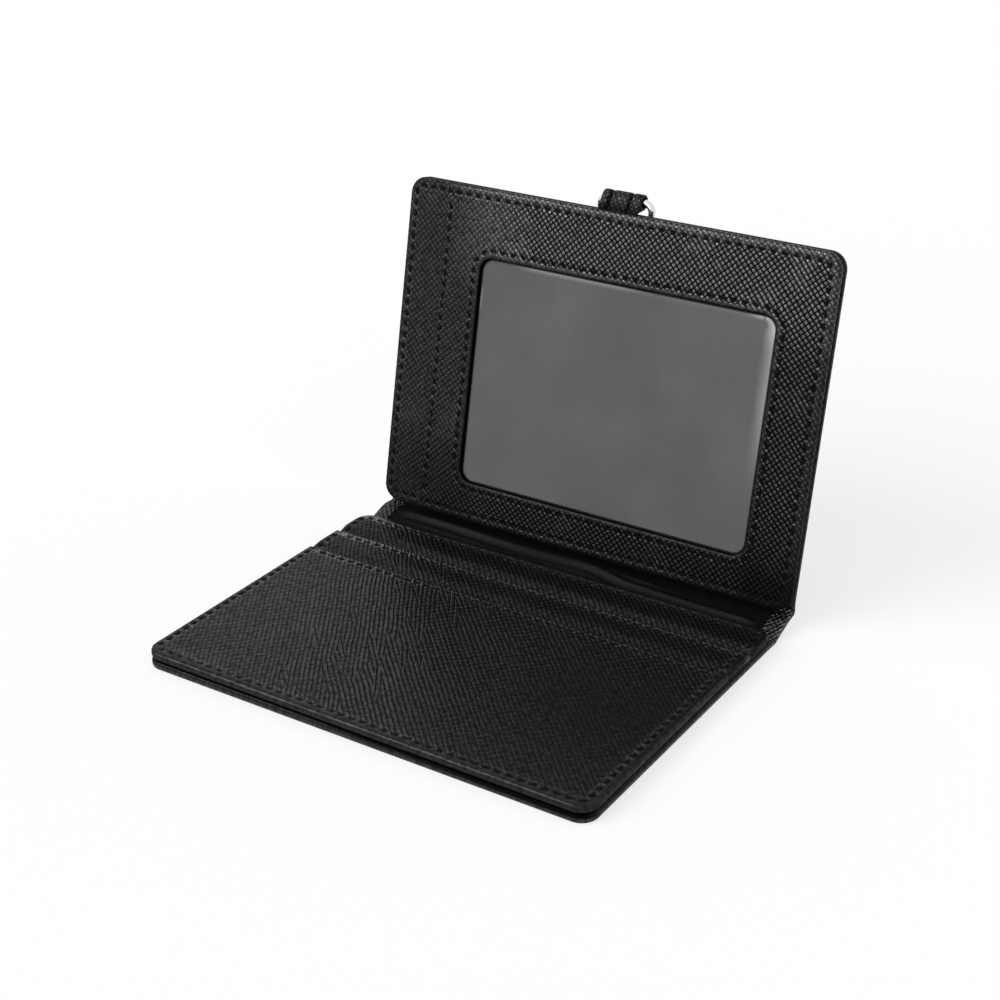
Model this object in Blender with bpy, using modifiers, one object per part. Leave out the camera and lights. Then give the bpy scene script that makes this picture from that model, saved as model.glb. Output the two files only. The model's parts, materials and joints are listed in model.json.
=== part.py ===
# Bifold card holder with an ID window, two card slots and a lanyard ring.
# The lower leaf lies flat and the upper leaf stands open, leaning back a little.
# Metres, +Z up. X runs along the fold, -Y is the front edge of the lower leaf.
# The origin is the middle of the lower leaf's underside.

import bpy
import bmesh
from math import acos, atan2, cos, pi, radians, sin
from mathutils import Matrix, Vector

# Leaves
leaf_width = 0.105
leaf_depth = 0.076
corner_radius = 0.0038
corner_steps = 6

# Layers of a leaf, from its outer skin inwards
cover_skin = 0.0005
board_thickness = 0.0007
turned_hem_skin = 0.0004
strip_skin = 0.0004
panel_skin = 0.0006
lining_thickness = 0.0002
film_thickness = 0.00015
layer_gap = 0.0002

# Leather edges
turned_hem_width = 0.008
panel_rim = 0.0016
edge_softness = 0.0003
softness_steps = 2

# Card slots, measured from the fold edge of the lower leaf
middle_mouth = 0.0111
front_mouth = 0.0210
slot_tongue = 0.012
mouth_clearance = 0.0003
mouth_ramp = 0.003
hem_step = 0.00015
mouth_seam_inset = 0.0014

# ID window, measured on the upper leaf from its left, right, top and fold edges
window_left = 0.0210
window_right = 0.0121
window_top = 0.0152
window_bottom = 0.0093
window_radius = 0.003
window_seam_inset = 0.0018
film_overlap = 0.0055
entry_edge = 0.0105
entry_seam_inset = 0.0012
entry_tongue = 0.0045

# Seams
seam_inset = 0.0020
thread_radius = 0.0002
thread_clearance = 0.00015
thread_lift = 0.00005
thread_step_run = 0.0006
thread_corner_steps = 4

# Fold
spine_pitch = 0.0095
crease_setback = 0.00075
spine_end_gap = 0.00005
spine_end_hem = 0.0042
spine_hem_height = 0.00045
spine_lining_thickness = 0.00025
lower_fold = radians(18.1)
upper_fold = radians(60.8)

# Loop and ring
tab_width = 0.0096
tab_skin = 0.0006
tab_notch_clearance = 0.0003
ring_wire_radius = 0.0008
ring_clearance = 0.0003
ring_inner_width = 0.0108
ring_inner_height = 0.009
ring_corner_radius = 0.0018
ring_above_edge = 0.0024
ring_behind_cover = 0.00065
ring_arc_steps = 14
ring_corner_steps = 4

# How far a cutter runs past what it cuts, and how close two points are that count as one
overrun = 0.001
weld_distance = 0.000001

# Levels above a leaf's outer face
cavity_top = cover_skin + board_thickness + 2 * layer_gap
shell_height = cavity_top + turned_hem_skin
base_level = shell_height + layer_gap
middle_level = base_level + strip_skin + layer_gap
front_level = middle_level + strip_skin + layer_gap
leaf_thickness = front_level + panel_skin
middle_hem_top = leaf_thickness - hem_step
base_hem_top = middle_hem_top - hem_step
strip_top = base_level + panel_skin
film_level = front_level - layer_gap - film_thickness

half_width = leaf_width / 2
half_depth = leaf_depth / 2
inner_half_width = half_width - panel_rim
tongue_half_width = inner_half_width - layer_gap
inner_radius = corner_radius - panel_rim

FREE_CORNERS_LOWER = ((-1, -1), (1, -1))
FOLD_CORNERS_LOWER = ((-1, 1), (1, 1))
ALL_CORNERS = FREE_CORNERS_LOWER + FOLD_CORNERS_LOWER


def clear_scene():
    for thing in list(bpy.data.objects):
        bpy.data.objects.remove(thing, do_unlink=True)


def new_collection(name):
    group = bpy.data.collections.new(name)
    bpy.context.scene.collection.children.link(group)
    return group


def finish(name, colour, roughness, metallic=0.0, alpha=1.0):
    material = bpy.data.materials.new(name)
    material.use_nodes = True
    shader = material.node_tree.nodes["Principled BSDF"]
    shader.inputs["Base Color"].default_value = (*colour, 1.0)
    shader.inputs["Roughness"].default_value = roughness
    shader.inputs["Metallic"].default_value = metallic
    shader.inputs["Alpha"].default_value = alpha
    return material


clear_scene()
holder = new_collection("card_holder")
cutters = new_collection("cutters")

leather = finish("black_saffiano_leather", (0.016, 0.016, 0.017), 0.42)
fabric = finish("ribbed_black_fabric", (0.022, 0.022, 0.024), 0.55)
card = finish("grey_card", (0.16, 0.15, 0.14), 0.9)
film_finish = finish("frosted_film", (0.13, 0.13, 0.135), 0.25, 0.0, 0.9)
thread = finish("black_thread", (0.02, 0.02, 0.022), 0.5)
steel = finish("polished_steel", (0.78, 0.78, 0.79), 0.15, 1.0)


def place(shape, frame):
    shape.parent = frame
    return shape


def slab(name, low, high, frame, rounded=(), radius=0.0, cutter=False, material=None):
    """A flat block from low to high, with the named upright corners rounded."""
    mesh = bpy.data.meshes.new(name)
    body = bmesh.new()
    bmesh.ops.create_cube(body, size=1.0)
    size = Vector(high) - Vector(low)
    middle = (Vector(high) + Vector(low)) / 2
    to_place = Matrix.Translation(middle) @ Matrix.Diagonal((*size, 1.0))
    bmesh.ops.transform(body, matrix=to_place, verts=body.verts)
    if rounded and radius > 0:
        upright = []
        for edge in body.edges:
            a, b = edge.verts
            if abs(a.co.z - b.co.z) > size.z / 2:
                side = (1 if a.co.x > middle.x else -1, 1 if a.co.y > middle.y else -1)
                if side in rounded:
                    upright.append(edge)
        bmesh.ops.bevel(body, geom=upright, offset=radius, offset_type="OFFSET",
                        segments=corner_steps, profile=0.5, affect="EDGES")
    body.to_mesh(mesh)
    body.free()
    return add(name, mesh, frame, cutter, material)


def add(name, mesh, frame, cutter=False, material=None):
    shape = bpy.data.objects.new(name, mesh)
    if cutter:
        cutters.objects.link(shape)
        shape.hide_render = True
        shape.display_type = "WIRE"
    else:
        holder.objects.link(shape)
        mesh.materials.append(material)
    return place(shape, frame)


def soften(shape, width=edge_softness):
    bevel = shape.modifiers.new("soft edges", "BEVEL")
    bevel.width = width
    bevel.segments = softness_steps
    bevel.limit_method = "ANGLE"
    bevel.angle_limit = radians(50)
    return shape


def cut(shape, *tools, operation="DIFFERENCE"):
    for tool in tools:
        step = shape.modifiers.new(tool.name, "BOOLEAN")
        step.operation = operation
        step.solver = "EXACT"
        step.object = tool
    return shape


def curve_mesh(curve_object):
    """The evaluated mesh of a curve object, welded, in place of the curve."""
    bpy.context.view_layer.update()
    graph = bpy.context.evaluated_depsgraph_get()
    mesh = bpy.data.meshes.new_from_object(curve_object.evaluated_get(graph))
    body = bmesh.new()
    body.from_mesh(mesh)
    bmesh.ops.remove_doubles(body, verts=body.verts, dist=weld_distance)
    body.to_mesh(mesh)
    body.free()
    bpy.data.objects.remove(curve_object, do_unlink=True)
    return mesh


def strip_along_fold(name, profile, half_length, frame, holes=(), cutter=False, material=None):
    """An outline in (y, z) drawn out along X to both sides of the middle."""
    outline = bpy.data.curves.new(name, "CURVE")
    outline.dimensions = "2D"
    outline.fill_mode = "BOTH"
    outline.extrude = half_length
    for loop in (profile, *holes):
        spline = outline.splines.new("POLY")
        spline.points.add(len(loop) - 1)
        for point, (y, z) in zip(spline.points, loop):
            point.co = (y, z, 0.0, 1.0)
        spline.use_cyclic_u = True
    sketch = bpy.data.objects.new(name + "_sketch", outline)
    holder.objects.link(sketch)
    mesh = curve_mesh(sketch)
    turn = Matrix(((0, 0, 1, 0), (1, 0, 0, 0), (0, 1, 0, 0), (0, 0, 0, 1)))
    mesh.transform(turn)
    return add(name, mesh, frame, cutter, material)


def wire(name, points, radius, frame, closed=True, steps=1, cutter=False, material=None):
    """A round thread or wire along its middle line."""
    line = bpy.data.curves.new(name, "CURVE")
    line.dimensions = "3D"
    line.bevel_depth = radius
    line.bevel_resolution = steps
    line.use_fill_caps = not closed
    spline = line.splines.new("POLY")
    spline.points.add(len(points) - 1)
    for point, co in zip(spline.points, points):
        point.co = (*co, 1.0)
    spline.use_cyclic_u = closed
    sketch = bpy.data.objects.new(name + "_sketch", line)
    holder.objects.link(sketch)
    mesh = curve_mesh(sketch)
    mesh.shade_smooth()
    return add(name, mesh, frame, cutter, material)


def rounded_outline(x_low, x_high, y_low, y_high, radius, steps):
    """Points round a rounded rectangle, counter-clockwise from the lower right corner."""
    points = []
    corners = ((x_high, y_low, -90), (x_high, y_high, 0), (x_low, y_high, 90), (x_low, y_low, 180))
    for x, y, start in corners:
        centre_x = x - radius if x == x_high else x + radius
        centre_y = y - radius if y == y_high else y + radius
        for step in range(steps + 1):
            angle = radians(start + 90 * step / steps)
            points.append((centre_x + radius * cos(angle), centre_y + radius * sin(angle)))
    return points


def seam_over_steps(ring, axis, steps, level_at):
    """A seam's points, with two more where it goes over each step between panels."""
    path = []
    for here, there in zip(ring, ring[1:] + ring[:1]):
        path.append((*here, level_at(here[axis])))
        forward = 1 if there[axis] > here[axis] else -1
        crossed = [at for at in steps if min(here[axis], there[axis]) < at < max(here[axis], there[axis])]
        for at in sorted(crossed, reverse=forward < 0):
            for run in (-forward * thread_step_run, forward * thread_step_run):
                point = list(here)
                point[axis] = at + run
                path.append((*point, level_at(at + run)))
    return path


def seam(thread_name, path, panels, frame, closed=True):
    """A thread laid in the channel that it presses into the panels under it."""
    wire(thread_name, path, thread_radius, frame, closed, material=thread)
    channel_radius = thread_radius + thread_clearance
    channel = wire(thread_name + "_channel", path, channel_radius, frame, closed, cutter=True)
    for panel in panels:
        cut(panel, channel)


def leaf_cover(name, frame, fold_side):
    """Outer skin of a leaf: a shallow tray whose edges turn in over the board."""
    free = [corner for corner in ALL_CORNERS if corner[1] == -fold_side]
    tray = slab(name, (-half_width, -half_depth, 0), (half_width, half_depth, shell_height), frame,
                free, corner_radius, material=leather)
    soften(tray)
    wall = cover_skin + layer_gap
    hollow = slab(name + "_hollow", (-half_width + wall, -half_depth + wall, cover_skin),
                  (half_width - wall, half_depth - wall, cavity_top), frame,
                  free, corner_radius - wall, cutter=True)
    mouth_x = half_width - turned_hem_width
    mouth_y = half_depth - turned_hem_width
    mouth = slab(name + "_mouth", (-mouth_x, -mouth_y, cavity_top - layer_gap),
                 (mouth_x, mouth_y, shell_height + overrun), frame, cutter=True)
    return cut(tray, hollow, mouth)


def leaf_board(name, frame, fold_side):
    """Stiffener card inside the cover."""
    free = [corner for corner in ALL_CORNERS if corner[1] == -fold_side]
    inset = cover_skin + 2 * layer_gap
    return slab(name, (-half_width + inset, -half_depth + inset, cover_skin + layer_gap),
                (half_width - inset, half_depth - inset, cover_skin + layer_gap + board_thickness), frame,
                free, corner_radius - inset, material=card)


# Lower leaf. Its frame is the world's: its fold edge is at +Y.
lower_frame = None
fold_y = half_depth
front_mouth_y = fold_y - front_mouth
middle_mouth_y = fold_y - middle_mouth


def slot_panel_profile(low_y, ramp_y, top_y, bottom, tongue_top, hem_top):
    """Side outline of a strip: a thin tongue below the slot and a thicker hem at its own mouth."""
    return [(low_y, bottom), (top_y, bottom), (top_y, hem_top), (ramp_y + mouth_ramp, hem_top),
            (ramp_y, tongue_top), (low_y, tongue_top)]


def rounded_corner_guard(name, frame, level, top):
    """A rounded prism of the leaf's outline, to round the strips that meet it."""
    return slab(name, (-half_width, -half_depth, level - overrun), (half_width, half_depth, top + overrun),
                frame, ALL_CORNERS, corner_radius, cutter=True)


def rim_notches(name, y_high, level, frame):
    """Room at both sides of a tongue for the rim of the panel above it."""
    made = []
    for side in (-1, 1):
        inner = side * tongue_half_width
        outer = side * (half_width + overrun)
        made.append(slab(f"{name}_{'left' if side < 0 else 'right'}",
                         (min(inner, outer), -half_depth - overrun, level - overrun),
                         (max(inner, outer), y_high, leaf_thickness + overrun), frame, cutter=True))
    return made


def lower_leaf():
    leaf_cover("lower_cover", lower_frame, 1)
    leaf_board("lower_board", lower_frame, 1)
    outline = rounded_corner_guard("lower_outline", lower_frame, base_level, leaf_thickness)

    base_low = middle_mouth_y - slot_tongue
    base_ramp = middle_mouth_y + mouth_clearance
    base_profile = slot_panel_profile(base_low, base_ramp, fold_y, base_level,
                                      base_level + strip_skin, base_hem_top)
    base = strip_along_fold("base_panel", base_profile, half_width + overrun, lower_frame, material=leather)
    cut(base, outline, operation="INTERSECT")
    cut(base, *rim_notches("base_notch", base_ramp, base_level, lower_frame))

    middle_low = front_mouth_y - slot_tongue
    middle_ramp = front_mouth_y + mouth_clearance
    middle_profile = slot_panel_profile(middle_low, middle_ramp, middle_mouth_y, base_level,
                                        middle_level + strip_skin, middle_hem_top)
    middle = strip_along_fold("middle_slot_panel", middle_profile, half_width, lower_frame, material=leather)
    under = slab("middle_under", (-inner_half_width, middle_low - overrun, base_level - overrun),
                 (inner_half_width, middle_mouth_y + overrun, middle_level), lower_frame, cutter=True)
    cut(middle, under, *rim_notches("middle_notch", middle_ramp, base_level, lower_frame))

    front = slab("front_slot_panel", (-half_width, -half_depth, base_level),
                 (half_width, front_mouth_y, leaf_thickness), lower_frame,
                 FREE_CORNERS_LOWER, corner_radius, material=leather)
    soften(front)
    hollow = slab("front_hollow", (-inner_half_width, -half_depth + panel_rim, base_level - overrun),
                  (inner_half_width, front_mouth_y + overrun, front_level), lower_frame,
                  FREE_CORNERS_LOWER, inner_radius, cutter=True)
    cut(front, hollow)

    lining_front = -half_depth + panel_rim + layer_gap
    slab("base_lining", (-tongue_half_width, lining_front, base_level),
         (tongue_half_width, base_low - layer_gap, base_level + lining_thickness), lower_frame,
         FREE_CORNERS_LOWER, inner_radius, material=fabric)
    slab("middle_slot_lining", (-tongue_half_width, lining_front, middle_level),
         (tongue_half_width, middle_low - layer_gap, middle_level + lining_thickness), lower_frame,
         FREE_CORNERS_LOWER, inner_radius, material=fabric)

    def level_at(y):
        if y < front_mouth_y:
            return leaf_thickness + thread_lift
        if y < middle_mouth_y:
            return middle_hem_top + thread_lift
        return base_hem_top + thread_lift

    ring = rounded_outline(-half_width + seam_inset, half_width - seam_inset, -half_depth + seam_inset,
                           fold_y - seam_inset, corner_radius - seam_inset, thread_corner_steps)
    path = seam_over_steps(ring, 1, (front_mouth_y, middle_mouth_y), level_at)
    seam("lower_edge_thread", path, (base, middle, front), lower_frame)

    reach = inner_half_width - seam_inset
    for name, mouth_y, top, panel in (("front_slot_thread", front_mouth_y, leaf_thickness, front),
                                      ("middle_slot_thread", middle_mouth_y, middle_hem_top, middle)):
        y = mouth_y - mouth_seam_inset
        z = top + thread_lift
        seam(name, [(-reach, y, z), (reach, y, z)], (panel,), lower_frame, False)


# Spine. Its frame lies on the lower crease, with +Y across the strip.
crease_height = cover_skin
lower_crease = bpy.data.objects.new("lower_crease", None)
lower_crease.location = (0, fold_y + crease_setback, crease_height)
lower_crease.rotation_euler = (lower_fold, 0, 0)
holder.objects.link(lower_crease)

upper_crease = bpy.data.objects.new("upper_crease", None)
upper_crease.location = (0, spine_pitch, 0)
upper_crease.rotation_euler = (upper_fold, 0, 0)
holder.objects.link(upper_crease)
upper_crease.parent = lower_crease


def spine():
    low = spine_end_gap
    high = spine_pitch - spine_end_gap
    strip = slab("spine_cover", (-half_width, low, -cover_skin), (half_width, high, spine_hem_height),
                 lower_crease, material=leather)
    bed = slab("spine_bed", (-half_width + spine_end_hem, low - overrun, 0),
               (half_width - spine_end_hem, high + overrun, spine_hem_height + overrun),
               lower_crease, cutter=True)
    cut(strip, bed)
    reach = half_width - spine_end_hem - layer_gap
    slab("spine_lining", (-reach, low, spine_hem_height - spine_lining_thickness),
         (reach, high, spine_hem_height), lower_crease, material=fabric)


# Upper leaf. Its frame is the middle of its outer face, and its fold edge is at -Y.
upper_leaf_frame = bpy.data.objects.new("upper_leaf_frame", None)
upper_leaf_frame.location = (0, crease_setback + half_depth, -crease_height)
holder.objects.link(upper_leaf_frame)
upper_leaf_frame.parent = upper_crease

window_x = (-half_width + window_left, half_width - window_right)
window_y = (-half_depth + window_bottom, half_depth - window_top)
entry_x = -half_width + entry_edge


def upper_leaf():
    frame = upper_leaf_frame
    cover = leaf_cover("upper_cover", frame, -1)
    notch_half = tab_width / 2 + tab_notch_clearance
    notch_low = half_depth - turned_hem_width - overrun
    notch = slab("tab_notch", (-notch_half, notch_low, cavity_top - layer_gap / 2),
                 (notch_half, half_depth + overrun, shell_height + overrun), frame, cutter=True)
    cut(cover, notch)
    leaf_board("upper_board", frame, -1)

    tongue_x = entry_x + entry_tongue
    strip = slab("entry_strip", (-half_width, -half_depth, base_level), (tongue_x, half_depth, strip_top),
                 frame, ((-1, -1), (-1, 1)), corner_radius, material=leather)
    soften(strip)
    for side in (-1, 1):
        inner = side * (half_depth - panel_rim - layer_gap)
        outer = side * (half_depth + overrun)
        room = slab("strip_notch_top" if side > 0 else "strip_notch_bottom",
                    (entry_x - layer_gap, min(inner, outer), base_level - overrun),
                    (tongue_x + overrun, max(inner, outer), strip_top + overrun), frame, cutter=True)
        cut(strip, room)

    right_corners = ((1, -1), (1, 1))
    panel = slab("window_panel", (entry_x, -half_depth, base_level),
                 (half_width, half_depth, leaf_thickness), frame,
                 right_corners, corner_radius, material=leather)
    soften(panel)
    hollow = slab("window_hollow", (entry_x - overrun, -half_depth + panel_rim, base_level - overrun),
                  (inner_half_width, half_depth - panel_rim, front_level), frame,
                  right_corners, inner_radius, cutter=True)
    opening = slab("window_opening", (window_x[0], window_y[0], front_level - overrun),
                   (window_x[1], window_y[1], leaf_thickness + overrun), frame,
                   ALL_CORNERS, window_radius, cutter=True)
    cut(panel, hollow, opening)

    slab("window_film", (window_x[0] - film_overlap, window_y[0] - film_overlap, film_level),
         (window_x[1] + film_overlap, window_y[1] + film_overlap, film_level + film_thickness), frame,
         ALL_CORNERS, window_radius, material=film_finish)
    slab("window_lining", (tongue_x + layer_gap, -half_depth + panel_rim + layer_gap, base_level),
         (tongue_half_width, half_depth - panel_rim - layer_gap, base_level + lining_thickness), frame,
         right_corners, inner_radius, material=fabric)

    def level_at(x):
        return (leaf_thickness if x > entry_x else strip_top) + thread_lift

    ring = rounded_outline(-half_width + seam_inset, half_width - seam_inset, -half_depth + seam_inset,
                           half_depth - seam_inset, corner_radius - seam_inset, thread_corner_steps)
    seam("upper_edge_thread", seam_over_steps(ring, 0, (entry_x,), level_at), (strip, panel), frame)

    window_path = rounded_outline(window_x[0] - window_seam_inset, window_x[1] + window_seam_inset,
                                  window_y[0] - window_seam_inset, window_y[1] + window_seam_inset,
                                  window_radius + window_seam_inset, thread_corner_steps)
    seam("window_thread", [(x, y, leaf_thickness + thread_lift) for x, y in window_path], (panel,), frame)

    reach = half_depth - 2 * seam_inset
    x = entry_x + entry_seam_inset
    z = leaf_thickness + thread_lift
    seam("entry_thread", [(x, -reach, z), (x, reach, z)], (panel,), frame, False)


# Loop and ring. The ring's straight bar is the pivot, just above and behind the leaf's top edge.
bar_y = half_depth + ring_above_edge
bar_z = -ring_behind_cover
leaf_angle = lower_fold + upper_fold
ring_pivot = bpy.data.objects.new("ring_pivot", None)
ring_pivot.location = (0, bar_y, bar_z)
ring_pivot.rotation_euler = (-leaf_angle, 0, 0)
holder.objects.link(ring_pivot)
ring_pivot.parent = upper_leaf_frame


def tangent_angle(point, radius, side):
    """Angle about the bar of the line that leaves a point and just touches the loop."""
    away = Vector(point) - Vector((bar_y, bar_z))
    return atan2(away.y, away.x) + side * acos(radius / away.length)


def loop_tab():
    inner = ring_wire_radius + ring_clearance
    outer = inner + tab_skin
    tail_low = half_depth - turned_hem_width
    root_y = half_depth + layer_gap
    tail_bottom = cavity_top
    tail_top = shell_height
    start = tangent_angle((root_y, tail_top), outer, -1)
    end = tangent_angle((root_y, tail_bottom), outer, 1) - 2 * pi
    profile = [(tail_low, tail_bottom), (tail_low, tail_top), (root_y, tail_top)]
    for step in range(ring_arc_steps + 1):
        angle = start + (end - start) * step / ring_arc_steps
        profile.append((bar_y + outer * cos(angle), bar_z + outer * sin(angle)))
    profile.append((root_y, tail_bottom))
    hole = []
    for step in range(ring_arc_steps):
        angle = 2 * pi * step / ring_arc_steps
        hole.append((bar_y + inner * cos(angle), bar_z + inner * sin(angle)))
    strip_along_fold("loop_tab", profile, tab_width / 2, upper_leaf_frame, holes=(hole,), material=leather)


def arc(centre, radii, start, turn, steps):
    """Points in the ring's plane along an arc, from the start angle through the turn, in degrees."""
    angles = [radians(start + turn * step / steps) for step in range(steps + 1)]
    return [(centre[0] + radii[0] * cos(angle), 0, centre[1] + radii[1] * sin(angle)) for angle in angles]


def lanyard_ring():
    half = ring_inner_width / 2 + ring_wire_radius
    depth = ring_inner_height + 2 * ring_wire_radius
    corner = ring_corner_radius
    right = arc((half - corner, -corner), (corner, corner), 90, -90, ring_corner_steps)
    bow = arc((0, -corner), (half, depth - corner), 0, -180, ring_arc_steps)
    left = arc((corner - half, -corner), (corner, corner), 180, -90, ring_corner_steps)
    wire("lanyard_ring", right + bow[1:-1] + left, ring_wire_radius, ring_pivot, steps=2, material=steel)


lower_leaf()
spine()
upper_leaf()
loop_tab()
lanyard_ring()
bpy.context.view_layer.update()
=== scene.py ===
import json
from functools import partial
from math import acos, atan2, cos, pi, radians, sin, tan

import bmesh
import bpy
import numpy as np
from mathutils import Matrix, Vector, kdtree


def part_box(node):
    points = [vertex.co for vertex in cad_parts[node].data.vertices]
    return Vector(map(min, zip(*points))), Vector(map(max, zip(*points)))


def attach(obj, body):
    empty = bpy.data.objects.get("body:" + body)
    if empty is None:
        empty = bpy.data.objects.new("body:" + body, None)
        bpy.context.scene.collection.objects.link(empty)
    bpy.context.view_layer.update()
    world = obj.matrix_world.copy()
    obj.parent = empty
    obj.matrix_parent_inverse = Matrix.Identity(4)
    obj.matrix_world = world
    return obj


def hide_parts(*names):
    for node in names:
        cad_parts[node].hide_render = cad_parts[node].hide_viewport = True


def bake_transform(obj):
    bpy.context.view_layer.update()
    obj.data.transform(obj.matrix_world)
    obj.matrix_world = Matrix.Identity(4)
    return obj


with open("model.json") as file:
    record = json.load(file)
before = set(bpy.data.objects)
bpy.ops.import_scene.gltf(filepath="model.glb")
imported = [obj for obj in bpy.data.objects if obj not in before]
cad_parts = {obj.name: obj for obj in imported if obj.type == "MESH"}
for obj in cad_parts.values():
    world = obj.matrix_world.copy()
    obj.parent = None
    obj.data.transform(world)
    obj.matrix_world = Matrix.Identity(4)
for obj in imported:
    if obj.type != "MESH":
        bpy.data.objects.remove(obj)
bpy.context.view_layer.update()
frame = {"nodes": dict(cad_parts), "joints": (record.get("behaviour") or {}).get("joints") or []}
mm = 0.001


# Studio. A pale floor runs on into a white backdrop. One large soft key light stands at the
# front left, another lower down in front, and an even light comes from all round. The camera is
# at the front right.
camera_target = Vector((-11.05, 31.92, 20.0)) * mm
camera_azimuth = radians(32.747)
camera_elevation = radians(25.803)
camera_roll = radians(-0.087)
camera_distance = 411.32 * mm
camera_lens_mm = 68.188
camera_sensor_mm = 36.0
floor_radius = 6.0
floor_shade = 0.30
ambient_light = 0.58
soft_lights = (
    ("key", Vector((-0.50, -0.62, 0.50)), 2.1, radians(42)),
    ("front_card", Vector((-0.06, -0.95, 0.30)), 0.6, radians(38)))


def set_inputs(tree, node, inputs):
    """Gives each of a node's inputs a plain value, or another node's output to link."""
    for key, value in inputs.items():
        if isinstance(value, bpy.types.NodeSocket):
            tree.links.new(value, node.inputs[key])
        else:
            node.inputs[key].default_value = value


def add_node(tree, kind, inputs=None, **settings):
    """One shader node."""
    made = tree.nodes.new("ShaderNode" + kind)
    for name, value in settings.items():
        setattr(made, name, value)
    set_inputs(tree, made, inputs or {})
    return made


def work_out(tree, operation, first, second=0.0, third=0.0, **settings):
    """The output of one Math node."""
    inputs = {0: first, 1: second, 2: third}
    return add_node(tree, "Math", inputs, operation=operation, **settings).outputs[0]


def seen_directly(tree):
    """1 where the camera, a mirror or clear film sees the surface, and 0 for the light it gives."""
    path = add_node(tree, "LightPath").outputs
    mirrored = work_out(tree, "MAXIMUM", path["Is Glossy Ray"], path["Is Transmission Ray"])
    return work_out(tree, "MAXIMUM", path["Is Camera Ray"], mirrored)


def new_object(name, data):
    made = bpy.data.objects.new(name, data)
    bpy.context.scene.collection.objects.link(made)
    return made


def set_camera():
    az, el = camera_azimuth, camera_elevation
    back = Vector((sin(az) * cos(el), -cos(az) * cos(el), sin(el)))
    right = Vector((cos(az), sin(az), 0))
    level = Matrix((right, back.cross(right), back)).transposed()
    turned = level @ Matrix.Rotation(camera_roll, 3, "Z")
    lens = bpy.data.cameras.new("camera")
    lens.lens = camera_lens_mm
    lens.sensor_width = camera_sensor_mm
    lens.clip_start = 10 * mm
    lens.clip_end = 4 * floor_radius
    camera = new_object("camera", lens)
    camera.matrix_world = Matrix.Translation(camera_target + back * camera_distance) @ turned.to_4x4()
    bpy.context.scene.camera = camera


def set_floor():
    mesh = bpy.data.meshes.new("floor")
    sides = 48
    turns = [2 * pi * n / sides for n in range(sides)]
    mesh.from_pydata([(floor_radius * cos(turn), floor_radius * sin(turn), 0) for turn in turns],
                     [], [range(sides)])
    floor = new_object("floor", mesh)
    paper = bpy.data.materials.new("white_paper")
    paper.use_nodes = True
    tree = paper.node_tree
    tree.nodes.clear()
    matt = add_node(tree, "BsdfDiffuse", {"Color": (floor_shade, floor_shade, floor_shade, 1)})
    lift = work_out(tree, "MULTIPLY", seen_directly(tree), 1 - floor_shade)
    glow = add_node(tree, "Emission", {"Strength": lift})
    both = add_node(tree, "AddShader", {0: matt.outputs[0], 1: glow.outputs[0]})
    add_node(tree, "OutputMaterial", {"Surface": both.outputs[0]})
    mesh.materials.append(paper)


def set_light():
    world = bpy.data.worlds.new("white_room")
    world.use_nodes = True
    tree = world.node_tree
    tree.nodes.clear()
    lift = work_out(tree, "MULTIPLY_ADD", seen_directly(tree), 1 - ambient_light, ambient_light)
    air = add_node(tree, "Background", {"Color": (1, 1, 1, 1), "Strength": lift})
    add_node(tree, "OutputWorld", {"Surface": air.outputs[0]})
    bpy.context.scene.world = world
    for name, comes_from, strength, spread in soft_lights:
        lamp = bpy.data.lights.new(name, "SUN")
        lamp.energy = strength
        lamp.angle = spread
        light = new_object(name, lamp)
        light.rotation_mode = "QUATERNION"
        light.rotation_quaternion = comes_from.to_track_quat("Z", "Y")


bpy.context.scene.view_settings.view_transform = "Standard"
set_camera()
set_floor()
set_light()


# Outer skin, lower half. One piece of saffiano leather wraps the whole holder: under the lower
# leaf, round the fold and up the back. Its edges turn in over the stiffener boards, and at the
# ends of the fold the turned edge shows as a flat lip. It is modelled flat, then bent.
lower_joint, upper_joint, ring_joint = frame["joints"]
lower_axis = Vector(lower_joint["pos_m"])
upper_axis = Vector(upper_joint["pos_m"])
lower_turn = -radians(lower_joint["range_deg"][0])
upper_turn = -radians(upper_joint["range_deg"][0])
skin_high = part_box("lower_cover")[1]
half_width = skin_high.x
half_depth = skin_high.y
shell_top = skin_high.z
first_crease = lower_axis.y
second_crease = first_crease + (upper_axis - lower_axis).length
fold_middle = (first_crease + second_crease) / 2
skin_length = 2 * fold_middle
corner_radius = 3.8 * mm
skin_thickness = lower_axis.z
board_gap = 0.2 * mm
hem_thickness = 0.4 * mm
hem_width = 4.2 * mm
lip_height = 0.95 * mm
first_bend = 0.75 * mm
second_bend = 1.1 * mm
crease_pinch = 1.1 * mm
crease_flare = 0.2 * mm
crease_spread = 1.6 * mm
skin_swell = 0.05 * mm
outer_face_depth = 0.3 * mm
rim_fade = (1.5 * mm, 2.7 * mm)
skin_turn_reach = 0.9 * mm
seam_inset = 2.0 * mm
left_seam_inset = 1.55 * mm
stitch_pitch = 2.55 * mm
seam_depth = 0.42 * mm
seam_spread = 0.36 * mm
seam_reach = 3.2 * seam_spread
seam_swell = 0.22
pucker_share = 0.10
pucker_place = 1.9 * seam_spread
pucker_spread = 0.8 * seam_spread
path_step = 0.2 * mm
grid_step = 0.34 * mm
edge_squareness = 0.72
sharp_edge = radians(48)


def turned_edge(bottom, top, reach, steps=7):
    """(inset, height) points round a soft turned edge, from its underside to its top."""
    middle, half = (bottom + top) / 2, (top - bottom) / 2
    edge = []
    for step in range(steps + 1):
        angle = pi * (step / steps - 0.5)
        rise = abs(sin(angle)) ** edge_squareness
        inset = reach * (1 - abs(cos(angle)) ** edge_squareness)
        edge.append((inset, middle + half * (rise if angle > 0 else -rise)))
    return edge


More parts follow.
